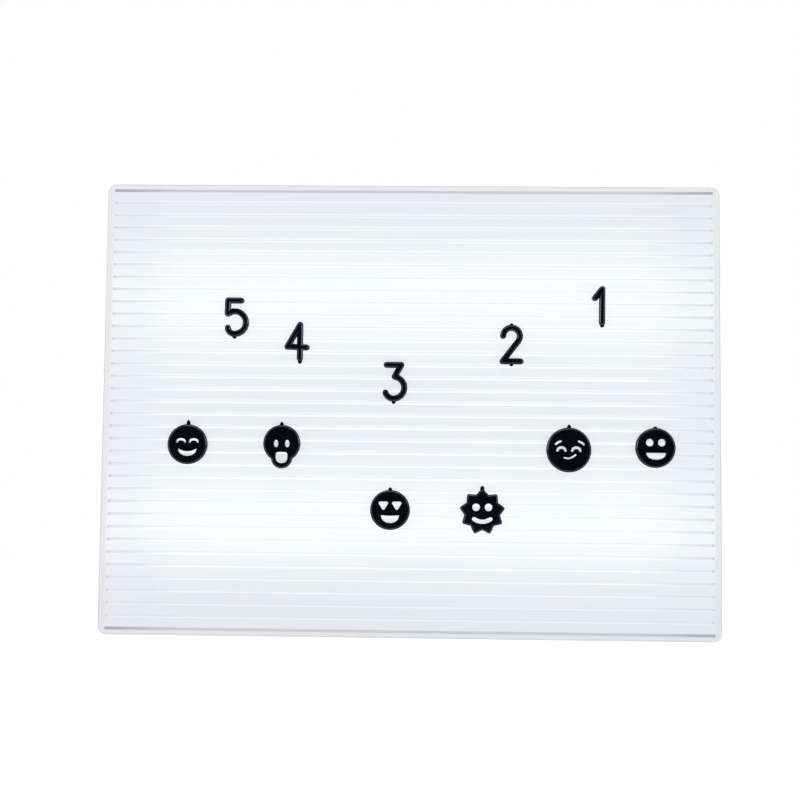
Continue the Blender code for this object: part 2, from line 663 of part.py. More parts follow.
def make_cells():
    """The cells, each with its button the other way up from its neighbour's."""
    edge = CELL_RADIUS * 0.1
    body = CELL_LENGTH - CELL_NUB_HEIGHT
    profile = [(0.0, CELL_LENGTH), (CELL_NUB_RADIUS, CELL_LENGTH), (CELL_NUB_RADIUS, body),
               (CELL_RADIUS - edge, body), (CELL_RADIUS, body - edge), (CELL_RADIUS, edge),
               (CELL_RADIUS - edge, 0.0), (0.0, 0.0)]
    for index in range(CELL_COUNT):
        button_up = index % 2 == 0
        spring_side = SEAT_GAP + CONTACT_THICKNESS + SEAT_GAP + SPRING_LENGTH + SEAT_GAP
        z = BAY_BOTTOM + spring_side if button_up else BAY_TOP - spring_side
        turn = (0, 0, 0) if button_up else (math.pi, 0, 0)
        turned(f"cell_{index + 1}", profile, ROUND_STEPS, CELL_SLEEVE, (cell_x(index), Y_CELL, z), turn)


def make_contacts():
    """Springs and plates that join the cells end to end."""
    plate_half = CONTACT_WIDTH / 2
    for index in range(CELL_COUNT):
        button_up = index % 2 == 0
        low = SEAT_GAP + CONTACT_THICKNESS + SEAT_GAP + SPRING_WIRE_RADIUS
        high = low + SPRING_LENGTH - 2 * SPRING_WIRE_RADIUS
        count = round(SPRING_TURNS * 10)
        points = []
        for step in range(count + 1):
            share = step / count
            radius = SPRING_BASE_RADIUS + (SPRING_TIP_RADIUS - SPRING_BASE_RADIUS) * share
            angle = 2 * math.pi * SPRING_TURNS * share
            rise = low + (high - low) * share
            z = BAY_BOTTOM + rise if button_up else BAY_TOP - rise
            points.append((cell_x(index) + radius * math.cos(angle), Y_CELL + radius * math.sin(angle), z))
        tube(f"contact_spring_{index + 1}", points, SPRING_WIRE_RADIUS, STEEL, 1)
    low_z = BAY_BOTTOM + SEAT_GAP
    high_z = BAY_TOP - SEAT_GAP - CONTACT_THICKNESS
    spans = {"contact_lower_link": (0, 1, low_z), "contact_lower_end": (2, 2, low_z),
             "contact_upper_end": (0, 0, high_z), "contact_upper_link": (1, 2, high_z)}
    for name, (first, last, z) in spans.items():
        bm = bmesh.new()
        half = (cell_x(last) - cell_x(first)) / 2 + CONTACT_SPREAD / 2
        block(bm, -half, half, -plate_half, plate_half, 0.0, CONTACT_THICKNESS)
        edges = [edge for edge in bm.edges
                 if abs(edge.verts[0].co.z - edge.verts[1].co.z) > CONTACT_THICKNESS / 2]
        bmesh.ops.bevel(bm, geom=edges, offset=plate_half / 3, segments=2, profile=0.5, affect="EDGES")
        add_mesh(name, bm, STEEL, ((cell_x(first) + cell_x(last)) / 2, Y_CELL, z))


# Light strips

def make_light_strips():
    """Two strips of lights on the back plate, a quarter of the height from the bottom and the top."""
    bm = bmesh.new()
    half = LED_SIZE / 2
    block(bm, -half, half, 0.0, LED_THICKNESS, -half, half)
    led = add_mesh("led", bm, LED_CREAM)
    bm = bmesh.new()
    rod(bm, 0.0, 0.0, LED_WELL_RADIUS, -CUT_MARGIN, LED_WELL_DEPTH, LED_WELL_STEPS)
    cut(led, add_mesh("led_well", bm))
    led_mesh = finished_mesh(led)
    for name, z in STRIP_RISES.items():
        bm = bmesh.new()
        prism(bm, rectangle(-STRIP_LENGTH / 2, STRIP_LENGTH / 2, -STRIP_WIDTH / 2, STRIP_WIDTH / 2),
              -STRIP_THICKNESS, 0.0)
        strip = add_mesh(f"light_strip_{name}", bm, BOARD_WHITE, (0, Y_STRIP_BACK, z))
        for index in range(LED_COUNT):
            x = (index - (LED_COUNT - 1) / 2) * LED_PITCH
            lamp = add_object(f"led_{name}_{index + 1}", led_mesh, LED_CREAM)
            lamp.parent = strip
            lamp.location = (x, Y_STRIP_FRONT - SEAT_GAP - LED_THICKNESS - Y_STRIP_BACK, 0.0)


# Control board, switch and socket

def make_control_board():
    """The board behind the switch and the socket, with its parts soldered on."""
    half_x, half_z = BOARD_WIDTH / 2, BOARD_HEIGHT / 2
    bm = bmesh.new()
    prism(bm, rectangle(-half_x, half_x, -half_z, half_z), -BOARD_THICKNESS, 0.0)
    board = add_mesh("control_board", bm, BOARD_GREEN, (BOARD_X, Y_BOARD_BACK, BOARD_Z))
    bm = bmesh.new()
    root = -BOARD_THICKNESS / 2
    chip = BOARD_HEIGHT / 5
    block(bm, -chip, chip, -BOARD_THICKNESS * 2, root, -chip, chip)
    block(bm, chip * 2, chip * 3, -BOARD_THICKNESS * 1.8, root, -half_z / 2, -half_z / 4)
    rod(bm, -chip * 2.4, 0.0, chip / 2, -BOARD_THICKNESS * 3, root, SMALL_ROUND_STEPS)
    join(board, add_mesh("board_components", bm, place=board.location))
    bm = bmesh.new()
    for x, z in POST_PLACES:
        rod(bm, x, z, BOARD_SCREW_RADIUS + SCREW_CLEARANCE, Y_BOARD_FRONT - CUT_MARGIN,
            Y_BOARD_BACK + CUT_MARGIN, SMALL_ROUND_STEPS)
    cut(board, add_mesh("board_holes", bm))


def make_switch():
    """The slide switch on the board, and the ribbed knob that stands in the housing's recess."""
    bm = bmesh.new()
    half_x, half_z = SWITCH_WIDTH / 2, SWITCH_HEIGHT / 2
    block(bm, -half_x, half_x, -SWITCH_BODY_DEPTH, 0.0, -half_z, half_z)
    bmesh.ops.bevel(bm, geom=list(bm.edges), offset=WIRE_RADIUS / 2, segments=1, profile=0.5, affect="EDGES")
    add_mesh("switch_body", bm, STEEL, (SWITCH_X, Y_SWITCH_BACK, BOARD_Z))

    knob_front = Y_BACK - SWITCH_RECESS_DEPTH + RUNNING_GAP
    half_x, half_z = KNOB_WIDTH / 2, KNOB_HEIGHT / 2
    place = (SWITCH_X + SWITCH_TRAVEL / 2, knob_front, BOARD_Z)
    top = Y_BACK + KNOB_PROUD - knob_front
    bm = bmesh.new()
    prism(bm, rounded_rectangle(-half_x, half_x, -half_z, half_z, KNOB_HEIGHT / 8, 2), 0.0, top)
    knob = add_mesh("switch_knob", bm, GLOSS_BLACK, place)
    bm = bmesh.new()
    block(bm, -KNOB_STEM_WIDTH / 2, KNOB_STEM_WIDTH / 2, Y_SWITCH_BACK + SEAT_GAP - knob_front, top / 2,
          -KNOB_STEM_HEIGHT / 2, KNOB_STEM_HEIGHT / 2)
    join(knob, add_mesh("knob_stem", bm, place=place))
    bm = bmesh.new()
    rib = KNOB_WIDTH / 7
    for index in (-1, 0, 1):
        block(bm, (index * 2 - 0.5) * rib, (index * 2 + 0.5) * rib, top - KNOB_RIB_DEPTH, top + CUT_MARGIN,
              -half_z - CUT_MARGIN, half_z + CUT_MARGIN)
    cut(knob, add_mesh("knob_ribs", bm, place=place))


def make_charging_socket():
    """The socket for a charging lead, a metal shell round a flat tongue."""
    length = Y_BACK - SOCKET_SUNK - Y_BOARD_BACK - SEAT_GAP
    place = (SOCKET_X, Y_BOARD_BACK + SEAT_GAP, BOARD_Z)
    half_x, half_z = SOCKET_WIDTH / 2, SOCKET_HEIGHT / 2
    bm = bmesh.new()
    prism(bm, rounded_rectangle(-half_x, half_x, -half_z, half_z, half_z / 2, 3), 0.0, length)
    socket = add_mesh("charging_socket", bm, STEEL, place)
    bm = bmesh.new()
    inner_x, inner_z = half_x - SOCKET_SHELL, half_z - SOCKET_SHELL
    prism(bm, rounded_rectangle(-inner_x, inner_x, -inner_z, inner_z, inner_z / 2, 3),
          length - SOCKET_MOUTH_DEPTH, length + CUT_MARGIN)
    cut(socket, add_mesh("socket_mouth", bm, place=place))
    bm = bmesh.new()
    block(bm, -SOCKET_TONGUE_WIDTH / 2, SOCKET_TONGUE_WIDTH / 2, length - SOCKET_MOUTH_DEPTH * 1.2,
          length - SOCKET_MOUTH_DEPTH / 4, -SOCKET_TONGUE_THICKNESS / 2, SOCKET_TONGUE_THICKNESS / 2)
    join(socket, add_mesh("socket_tongue", bm, place=place))


# Screws

def screw_mesh(name, shank_radius, head_radius, head_height, length, span):
    """A cross-head screw along Z with its head at the top; its origin is under the head."""
    profile = [(0.0, head_height), (head_radius * 0.7, head_height), (head_radius, head_height * 0.5),
               (head_radius, 0.0), (shank_radius, 0.0), (shank_radius, -length + shank_radius),
               (shank_radius / 3, -length), (0.0, -length)]
    screw = turned(name, profile, SMALL_ROUND_STEPS, STEEL)
    bm = bmesh.new()
    width = RECESS_WIDTH * span / RECESS_SPAN
    outline = []
    for quarter in range(4):
        turn = Matrix.Rotation(quarter * math.pi / 2, 2)
        for corner in ((span / 2, -width / 2), (span / 2, width / 2), (width / 2, width / 2)):
            outline.append(turn @ Vector(corner))
    floor = head_height - RECESS_DEPTH * head_height / SCREW_HEAD_HEIGHT
    face = bm.faces.new([bm.verts.new((point[0], point[1], floor)) for point in outline])
    result = bmesh.ops.extrude_face_region(bm, geom=[face], use_keep_orig=True)
    verts = [item for item in result["geom"] if isinstance(item, bmesh.types.BMVert)]
    bmesh.ops.translate(bm, vec=(0, 0, head_height - floor + CUT_MARGIN), verts=verts)
    cut(screw, add_mesh(name + "_recess", bm))
    return finished_mesh(screw)


def make_screws():
    """Six screws close the box from behind, and two hold the control board."""
    mesh = screw_mesh("housing_screw", SCREW_SHANK_RADIUS, SCREW_HEAD_RADIUS, SCREW_HEAD_HEIGHT,
                      SCREW_LENGTH, RECESS_SPAN)
    for index, (x, z) in enumerate(SCREW_PLACES):
        place = (x, Y_HEAD_SEAT + SEAT_GAP, z)
        add_object(f"housing_screw_{index + 1}", mesh, STEEL, place, (-math.pi / 2, 0, 0))
    mesh = screw_mesh("board_screw", BOARD_SCREW_RADIUS, BOARD_SCREW_HEAD_RADIUS, BOARD_SCREW_HEAD_HEIGHT,
                      BOARD_SCREW_LENGTH, BOARD_SCREW_HEAD_RADIUS)
    for index, (x, z) in enumerate(POST_PLACES):
        place = (x, Y_BOARD_FRONT - SEAT_GAP, z)
        add_object(f"board_screw_{index + 1}", mesh, STEEL, place, (math.pi / 2, 0, 0))


# Wires

def tube(name, points, radius, material, resolution=1):
    """A round wire along a list of points."""
    curve = bpy.data.curves.new(name, "CURVE")
    curve.dimensions = "3D"
    curve.bevel_depth = radius
    curve.bevel_resolution = resolution
    curve.use_fill_caps = True
    spline = curve.splines.new("POLY")
    spline.points.add(len(points) - 1)
    for point, place in zip(spline.points, points):
        point.co = (*place, 1.0)
    return add_object(name, curve, material)


def smooth_run(stops, steps=3):
    """Points on a smooth curve through the given stops, with a straight first and last stretch."""
    points = [tuple(stops[0])]
    for index in range(len(stops) - 3):
        p0, p1, p2, p3 = stops[index:index + 4]
        for step in range(steps):
            t = step / steps
            points.append(tuple(
                0.5 * (2 * b + (c - a) * t + (2 * a - 5 * b + 4 * c - d) * t ** 2
                       + (3 * b - a - 3 * c + d) * t ** 3)
                for a, b, c, d in zip(p0, p1, p2, p3)))
    points.extend(tuple(stop) for stop in stops[-2:])
    return points


def make_wires():
    """Wires from the cells to the board, and from the board to both light strips."""
    board_edge = BOARD_X + BOARD_WIDTH / 2 + SEAT_GAP
    y_board = Y_BOARD_BACK - BOARD_THICKNESS / 2
    bay_side = -BAY_HALF_WIDTH - BAY_WALL
    gutter = (bay_side + board_edge) / 2
    top = BAY_TOP + BAY_END_WALL + SEAT_GAP
    bottom = BAY_BOTTOM - BAY_WALL - SEAT_GAP
    high = BOARD_Z + WIRE_SPACING
    low = BOARD_Z - WIRE_SPACING
    red = [(cell_x(0), Y_CELL, top), (cell_x(0), Y_CELL, top + WIRE_LEAD),
           (bay_side, Y_WIRE, top + WIRE_PASS), (gutter, Y_WIRE, BAY_TOP - WIRE_BEND),
           (gutter, Y_WIRE, MIDDLE_Z), (gutter, Y_WIRE, high + WIRE_PASS),
           (board_edge + WIRE_LEAD, y_board, high), (board_edge, y_board, high)]
    tube("wire_battery_red", smooth_run(red), WIRE_RADIUS, WIRE_RED)
    black = [(cell_x(2), Y_CELL, bottom), (cell_x(2), Y_CELL, bottom - WIRE_LEAD),
             (cell_x(1), Y_WIRE, bottom - WIRE_PASS - WIRE_LEAD), (bay_side, Y_WIRE, bottom - WIRE_PASS),
             (gutter, Y_WIRE, low - WIRE_BEND), (board_edge + WIRE_LEAD, y_board, low),
             (board_edge, y_board, low)]
    tube("wire_battery_black", smooth_run(black), WIRE_RADIUS, WIRE_BLACK)
    y_strip = (Y_STRIP_FRONT + Y_STRIP_BACK) / 2
    for name, direction in (("lower", -1), ("upper", 1)):
        edge = BOARD_Z + direction * (BOARD_HEIGHT / 2 + SEAT_GAP)
        strip = STRIP_RISES[name] - direction * (STRIP_WIDTH / 2 + SEAT_GAP)
        for colour, material, side in (("red", WIRE_RED, -1), ("black", WIRE_BLACK, 1)):
            x = BOARD_X + side * WIRE_SPACING / 2
            bend = BOARD_X - BOARD_WIDTH / 4 + side * WIRE_SPACING / 2
            run = [(x, y_board, edge), (x, y_board, edge + direction * WIRE_LEAD),
                   ((x + bend) / 2, Y_WIRE, (edge + strip) / 2),
                   (bend, y_strip, strip - direction * WIRE_LEAD), (bend, y_strip, strip)]
            tube(f"wire_{name}_{colour}", smooth_run(run), WIRE_RADIUS, material)


# Letters, numbers and faces

Y_CHARACTER_BACK = Y_FRONT - SEAT_GAP
PEG_HALF = GROOVE_WIDTH / 2 - PEG_SIDE_CLEARANCE
PEG_TIP = GROOVE_DEPTH - PEG_TIP_CLEARANCE + SEAT_GAP


def crossings(paths, z):
    """Places along X where centre lines cross a height, with room for a peg between any two."""
    found = []
    for path in paths:
        for (x0, z0), (x1, z1) in zip(path, path[1:]):
            if (z0 - z) * (z1 - z) < 0:
                found.append(x0 + (x1 - x0) * (z - z0) / (z1 - z0))
    spaced = []
    for x in sorted(found):
        if not spaced or x - spaced[-1] > 2 * PEG_WIDTH:
            spaced.append(x)
    return spaced


def add_pegs(bm, places, base_z):
    """Adds the pegs behind a character, each in the middle of a groove."""
    root = CHARACTER_THICKNESS / 2
    for x, row in places:
        z = groove_z(row) - base_z
        block(bm, x - PEG_WIDTH / 2, x + PEG_WIDTH / 2, -root, PEG_TIP, z - PEG_HALF, z + PEG_HALF)


def nub_outline(x, z, length):
    """A small pointed stub that the moulding leaves on an edge; a negative length points down."""
    root = STROKE_WIDTH / 3 * (-1 if length > 0 else 1)
    half = NUB_WIDTH / 2
    return [(x - half, z + root), (x + half, z + root), (x + half * 0.8, z + length * 0.5),
            (x + half * 0.3, z + length), (x - half * 0.3, z + length), (x - half * 0.8, z + length * 0.5)]


def dress(item, place, base_z, pegs, nubs, holes=()):
    """Joins pegs and nubs to a character, and cuts its holes."""
    name = item.name
    bm = bmesh.new()
    add_pegs(bm, pegs, base_z)
    join(item, add_mesh(name + "_pegs", bm, place=place))
    bm = bmesh.new()
    for nub in nubs:
        prism(bm, nub_outline(*nub), -NUB_THICKNESS, 0.0)
    join(item, add_mesh(name + "_nubs", bm, place=place))
    if holes:
        bm = bmesh.new()
        for hole in holes:
            prism(bm, hole, -CHARACTER_THICKNESS - CUT_MARGIN, CUT_MARGIN)
        cut(item, add_mesh(name + "_holes", bm, place=place))


def make_digit(name, strokes, nubs):
    """A number built from round-ended strokes."""
    x, row, lift = DIGIT_PLACES[name]
    base_z = groove_z(row) + lift
    place = (x, Y_CHARACTER_BACK, base_z)
    pieces = []
    for index, path in enumerate(strokes):
        bm = bmesh.new()
        prism(bm, stroke_outline(path, STROKE_WIDTH / 2), -CHARACTER_THICKNESS, 0.0, CHARACTER_CHAMFER,
              CHARACTER_LAND)
        material = None if index else GLOSS_BLACK
        pieces.append(add_mesh(f"{name}_stroke_{index}" if index else name, bm, material, place))
    for extra in pieces[1:]:
        join(pieces[0], extra)
    rows = [r for r in range(GROOVE_COUNT) if PEG_HALF < groove_z(r) - base_z < DIGIT_RISE - PEG_HALF]
    pegs = [(crossing, r) for r in (rows[0], rows[-1]) for crossing in crossings(strokes, groove_z(r) - base_z)]
    dress(pieces[0], place, base_z, pegs, nubs)


def make_digits():
    """The numbers five to one, left to right."""
    rise = DIGIT_RISE
    reach = rise * 0.27
    bowl = rise * 0.34
    foot = -STROKE_WIDTH / 2

    hook = rise * 0.20
    five = [(reach * 0.47, rise), (-reach, rise)]
    five += arc(-reach * 0.25, bowl, bowl, 128, 98, 1)
    five += arc(-reach * 0.25, bowl, bowl, 98, -90, 9)[1:]
    five += arc(-reach * 0.25, hook, hook, -90, -176, 4)[1:]
    make_digit("digit_5", [five], [(-reach * 0.25, foot, -NUB_LENGTH * 0.8)])

    stem_x = reach * 0.38
    stem = [(stem_x, rise), (stem_x, 0.0)]
    frame = [(stem_x, rise), (-reach * 1.0, rise * 0.345), (reach * 1.12, rise * 0.325)]
    make_digit("digit_4", [stem, frame], [(stem_x, foot, -NUB_LENGTH * 1.1)])

    curl = rise * 0.24
    three = [(-reach * 0.81, rise), (reach * 0.81, rise)]
    three += arc(-reach * 0.05, bowl * 0.96, bowl * 0.96, 84, -90, 8)
    three += arc(-reach * 0.05, curl, curl, -90, -166, 4)[1:]
    make_digit("digit_3", [three], [(0.0, foot, -NUB_LENGTH * 1.1)])

    crown = rise * 0.25
    two = arc(0.0, rise - crown, crown, 180, -38, 10) + [(-reach * 0.98, 0.0), (reach, 0.0)]
    make_digit("digit_2", [two], [(0.0, rise - foot, NUB_LENGTH * 0.6), (0.0, foot, -NUB_LENGTH * 0.9)])

    one = [(-reach * 0.80, rise * 0.73), (0.0, rise), (-reach * 0.03, 0.0)]
    make_digit("digit_1", [one], [(0.0, foot, -NUB_LENGTH * 0.8)])


def make_face(name, radius, outline, nub, holes):
    """A face with its eyes and mouth cut through; all outlines are in shares of its radius."""
    x, row, lift = FACE_PLACES[name]
    base_z = groove_z(row) + lift
    place = (x, Y_CHARACTER_BACK, base_z)
    bm = bmesh.new()
    prism(bm, sized(outline, radius), -CHARACTER_THICKNESS, 0.0, CHARACTER_CHAMFER, CHARACTER_LAND)
    face = add_mesh(name, bm, GLOSS_BLACK, place)
    pegs = [(side * radius * FACE_PEG_SPREAD, r) for side in (-1, 1) for r in (row, row + 1)]
    nub_x, nub_z, nub_length = nub
    dress(face, place, base_z, pegs, [(nub_x * radius, nub_z * radius, nub_length)],
          [sized(hole, radius) for hole in holes])


def sized(outline, radius):
    """An outline given in shares of a radius, in metres."""
    return [(x * radius, z * radius) for x, z in outline]


def crescent(x, z, half_width, top_sag, depth, steps=8):
    """A mouth: corners at the given height, with the upper edge and the lower edge both sagging."""
    shares = [2 * step / steps - 1 for step in range(steps + 1)]
    upper = [(x + half_width * share, z - top_sag * (1 - share ** 2)) for share in shares]
    angles = [math.pi * step / steps for step in range(1, steps)]
    lower = [(x + half_width * math.cos(angle), z - depth * math.sin(angle) ** 0.9) for angle in angles]
    return upper + lower


def sun_outline(points, inner, outer):
    """A star with straight sides and blunt tips, one of them straight up."""
    outline = []
    for index in range(points):
        middle = 90 + 360 * index / points
        for turn, share in ((-SUN_TIP_TURN, 0.75), (0.0, 0.86), (SUN_TIP_TURN, 0.75), (180 / points, 0.0)):
            angle = math.radians(middle + turn)
            radius = inner + (outer - inner) * share
            outline.append((radius * math.cos(angle), radius * math.sin(angle)))
    return outline


def arched(x, z, half_width, rise, width):
    """A narrow eye or brow, curved upwards."""
    path = [(x + half_width * math.cos(math.radians(angle)), z + rise * math.sin(math.radians(angle)))
            for angle in (180, 144, 108, 72, 36, 0)]
    return stroke_outline(path, width / 2)


def make_faces():
    """Six plain faces, left to right."""
    disc = oval(0, 0, 1, 1, FACE_STEPS)
    sides = (-1, 1)

    eyes = [arched(side * 0.32, 0.125, 0.200, 0.125, 0.110) for side in sides]
    make_face("face_laughing", LAUGHING_RADIUS, disc, (0.02, 1.0, NUB_LENGTH * 2.0),
              [*eyes, crescent(0.0, -0.200, 0.475, 0.155, 0.385)])

    jaw = SHOCKED_JAW_RADIUS / SHOCKED_RADIUS
    drop = SHOCKED_JAW_DROP / SHOCKED_RADIUS
    neck = math.degrees(math.acos((1 + drop ** 2 - jaw ** 2) / (2 * drop)))
    tuck = math.degrees(math.acos((jaw ** 2 + drop ** 2 - 1) / (2 * jaw * drop)))
    shape = arc(0, 0, 1, -90 + neck, 270 - neck, 26)
    shape += arc(0, -drop, jaw, 90 + tuck, 450 - tuck, 12)[1:-1]
    shout = arc(0.18, -0.60, 0.14, 0, 90, 3) + arc(-0.18, -0.60, 0.14, 90, 180, 3)
    shout += arc(-0.04, -0.77, 0.28, 180, 270, 4) + arc(0.04, -0.77, 0.28, 270, 360, 4)
    eyes = [oval(side * 0.30, -0.005, 0.125, 0.20, 12) for side in sides]
    make_face("face_shocked", SHOCKED_RADIUS, shape, (-0.02, 1.0, NUB_LENGTH * 1.45), [*eyes, shout])

    heart = [(-0.245, 0.07), (-0.18, 0.144), (0.18, 0.144), (0.245, 0.07), (0.05, -0.26), (-0.05, -0.26)]
    eyes = [[(side * 0.335 + x, 0.278 + z) for x, z in heart] for side in sides]
    make_face("face_heart_eyes", HEART_EYES_RADIUS, disc, (0.0, 1.0, NUB_LENGTH * 1.2),
              [*eyes, crescent(0.0, -0.255, 0.455, 0.031, 0.395)])

    tip = SUN_POINT_RADIUS / SUN_RADIUS
    eyes = [oval(side * 0.341, 0.250, 0.210, 0.210, 14) for side in sides]
    smile = arc(0.0, 0.244, 0.783, 235, 305, 5)
    make_face("face_sun", SUN_RADIUS, sun_outline(SUN_POINTS, 1.0, tip), (0.0, tip, NUB_LENGTH * 1.1),
              [*eyes, stroke_outline(smile, 0.115)])

    eyes = [arched(side * 0.330, -0.030, 0.180, 0.140, 0.115) for side in sides]
    brow = [(0.620, 0.255), (0.520, 0.335), (0.400, 0.385)]
    brows = [stroke_outline([(0.04 + side * x, z) for x, z in brow], 0.045) for side in sides]
    smirk = [(-0.20, -0.348), (-0.08, -0.374), (0.04, -0.368), (0.16, -0.315), (0.30, -0.215)]
    make_face("face_smirking", SMIRKING_RADIUS, disc, (0.02, 1.0, NUB_LENGTH * 1.4),
              [*eyes, *brows, stroke_outline(smirk, 0.036)])

    eyes = [oval(0.01 + side * 0.300, 0.265, 0.192, 0.192, 14) for side in sides]
    make_face("face_grinning", GRINNING_RADIUS, disc, (0.0, 1.0, NUB_LENGTH * 0.7),
              [*eyes, crescent(0.028, -0.250, 0.500, 0.0, 0.340)])


make_letter_panel()
make_rear_housing()
make_battery_door()
make_cells()
make_contacts()
make_light_strips()
make_control_board()
make_switch()
make_charging_socket()
make_screws()
make_wires()
make_digits()
make_faces()
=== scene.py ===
"""Letter light box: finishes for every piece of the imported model, and the stage around it.

The box stands on z = 0 with its lit front towards -Y. Every place in the materials is read from
object coordinates, which are metres in the frame of the whole box. All lengths are in metres.
"""
import math

import bpy
from bpy.props import FloatProperty, FloatVectorProperty, PointerProperty
from bpy.types import Operator, Panel, PropertyGroup
from mathutils import Euler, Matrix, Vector


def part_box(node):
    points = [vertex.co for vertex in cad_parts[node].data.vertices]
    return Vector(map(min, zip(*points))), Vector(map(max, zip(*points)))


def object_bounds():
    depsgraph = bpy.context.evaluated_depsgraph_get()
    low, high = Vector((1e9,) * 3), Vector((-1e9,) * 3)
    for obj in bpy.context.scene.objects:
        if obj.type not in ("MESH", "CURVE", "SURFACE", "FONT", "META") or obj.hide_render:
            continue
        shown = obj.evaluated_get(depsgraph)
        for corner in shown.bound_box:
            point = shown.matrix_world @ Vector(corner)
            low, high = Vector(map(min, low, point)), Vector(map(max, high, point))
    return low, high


bl_info = {
    "name": "Letter Light Box Finishes",
    "version": (1, 0, 0),
    "blender": (4, 5, 0),
    "location": "View3D > Sidebar > Light Box",
    "description": "Finishes the pieces of a lit letter board and builds the studio around it",
    "category": "Material",
}

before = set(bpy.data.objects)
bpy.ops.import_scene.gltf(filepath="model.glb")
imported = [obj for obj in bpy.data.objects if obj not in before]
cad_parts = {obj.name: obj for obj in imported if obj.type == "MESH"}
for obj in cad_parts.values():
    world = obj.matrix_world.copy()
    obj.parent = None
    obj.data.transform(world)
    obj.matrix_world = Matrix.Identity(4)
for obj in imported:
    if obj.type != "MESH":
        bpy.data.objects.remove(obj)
PANEL_LOW, PANEL_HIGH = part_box("letter_panel")
BOX_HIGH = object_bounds()[1]
PANEL_MIDDLE = (PANEL_LOW[2] + PANEL_HIGH[2]) / 2
PANEL_HALF_HEIGHT = (PANEL_HIGH[2] - PANEL_LOW[2]) / 2
STRIP_HEIGHTS = [sum(corner[2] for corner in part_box(f"light_strip_{row}")) / 2 for row in ("lower", "upper")]
HALF_LED_PITCH = abs(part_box("led_lower_2")[0][0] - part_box("led_lower_1")[0][0]) / 2

# Where the panel's light changes: distances inwards from its outline
FADE_END = 0.004
OUTWARDS_FADE = 0.055
GROOVE_ENDS = 0.0052
OUTER_GROOVES = (0.0060, 0.0048)
SIDE_RIM = (0.0040, 0.0026)
TOP_RIM = (0.0030, 0.0018)
ROUNDED_EDGE = (0.0010, 0.0003)
# How far behind the front the grooves' own light begins and is whole
GROOVE_MOUTH = (0.0002, 0.0012)

# Light inside the grooves: at their ends, in the top and foot ones, and on the roof of each, where it is
# painted shade from the slat above
END_LIGHT = (0.485, 0.485, 0.555, 1.0)
OUTER_LIGHT = (0.43, 0.44, 0.52, 1.0)
OUTER_CORNER_LIGHT = (0.30, 0.315, 0.375, 1.0)
DULL_SHADED_ROOF = (0.565, 0.57, 0.625, 1.0)
BRIGHT_SHADED_ROOF = (0.645, 0.665, 0.705, 1.0)

WHITE = (1.0, 1.0, 1.0, 1.0)
FLOOR_REACH = 3.0
FLOOR_CORNERS = ((-1, -1), (1, -1), (1, 1), (-1, 1))
# How far in front of the middle the floor turns dark for the gloss
DARK_CARD = (-0.20, -0.45)
# Where the camera stands in x and z, and how it is turned, in degrees, as the front's perspective shows
CAMERA_ASIDE = 0.00657
CAMERA_HEIGHT = 0.08357
CAMERA_TURN = (93.291, -0.577, 1.195)


# Node helpers

class Wiring:
    """Short ways to add nodes to a tree and to wire them."""

    def __init__(self, tree):
        self.tree = tree

    def node(self, kind, **settings):
        """Adds a node and sets its properties."""
        node = self.tree.nodes.new(kind)
        for key, value in settings.items():
            setattr(node, key, value)
        return node

    def feed(self, socket, value):
        """Links a socket to another one, or sets it to a plain value."""
        if isinstance(value, bpy.types.NodeSocket):
            self.tree.links.new(value, socket)
        else:
            socket.default_value = value

    def math(self, operation, *values, clamp=False):
        """A Math node on sockets or numbers."""
        node = self.node("ShaderNodeMath", operation=operation, use_clamp=clamp)
        for socket, value in zip(node.inputs, values):
            self.feed(socket, value)
        return node.outputs[0]

    def step(self, value, low, high, smooth=True):
        """Rises from 0 to 1 while a value goes from low to high."""
        node = self.node("ShaderNodeMapRange", interpolation_type="SMOOTHSTEP" if smooth else "LINEAR")
        self.feed(node.inputs["Value"], value)
        node.inputs["From Min"].default_value = low
        node.inputs["From Max"].default_value = high
        return node.outputs["Result"]

    def mix(self, share, first, second):
        """A colour between two others."""
        node = self.node("ShaderNodeMix", data_type="RGBA")
        self.feed(node.inputs["Factor"], share)
        self.feed(node.inputs[6], first)
        self.feed(node.inputs[7], second)
        return node.outputs[2]

    def axes(self, vector):
        """The x, y and z of a vector."""
        split = self.node("ShaderNodeSeparateXYZ")
        self.feed(split.inputs[0], vector)
        return split.outputs

    def ray(self, kind):
        """1 for rays of one kind, 0 for all others."""
        return self.node("ShaderNodeLightPath").outputs[f"Is {kind} Ray"]

    def light(self, colour):
        """A shader that glows in one colour at a strength of 1."""
        node = self.node("ShaderNodeEmission")
        node.inputs["Color"].default_value = colour
        return node.outputs[0]

    def blend(self, share, first, second):
        """A shader between two others."""
        node = self.node("ShaderNodeMixShader")
        for socket, value in zip(node.inputs, (share, first, second)):
            self.feed(socket, value)
        return node.outputs[0]


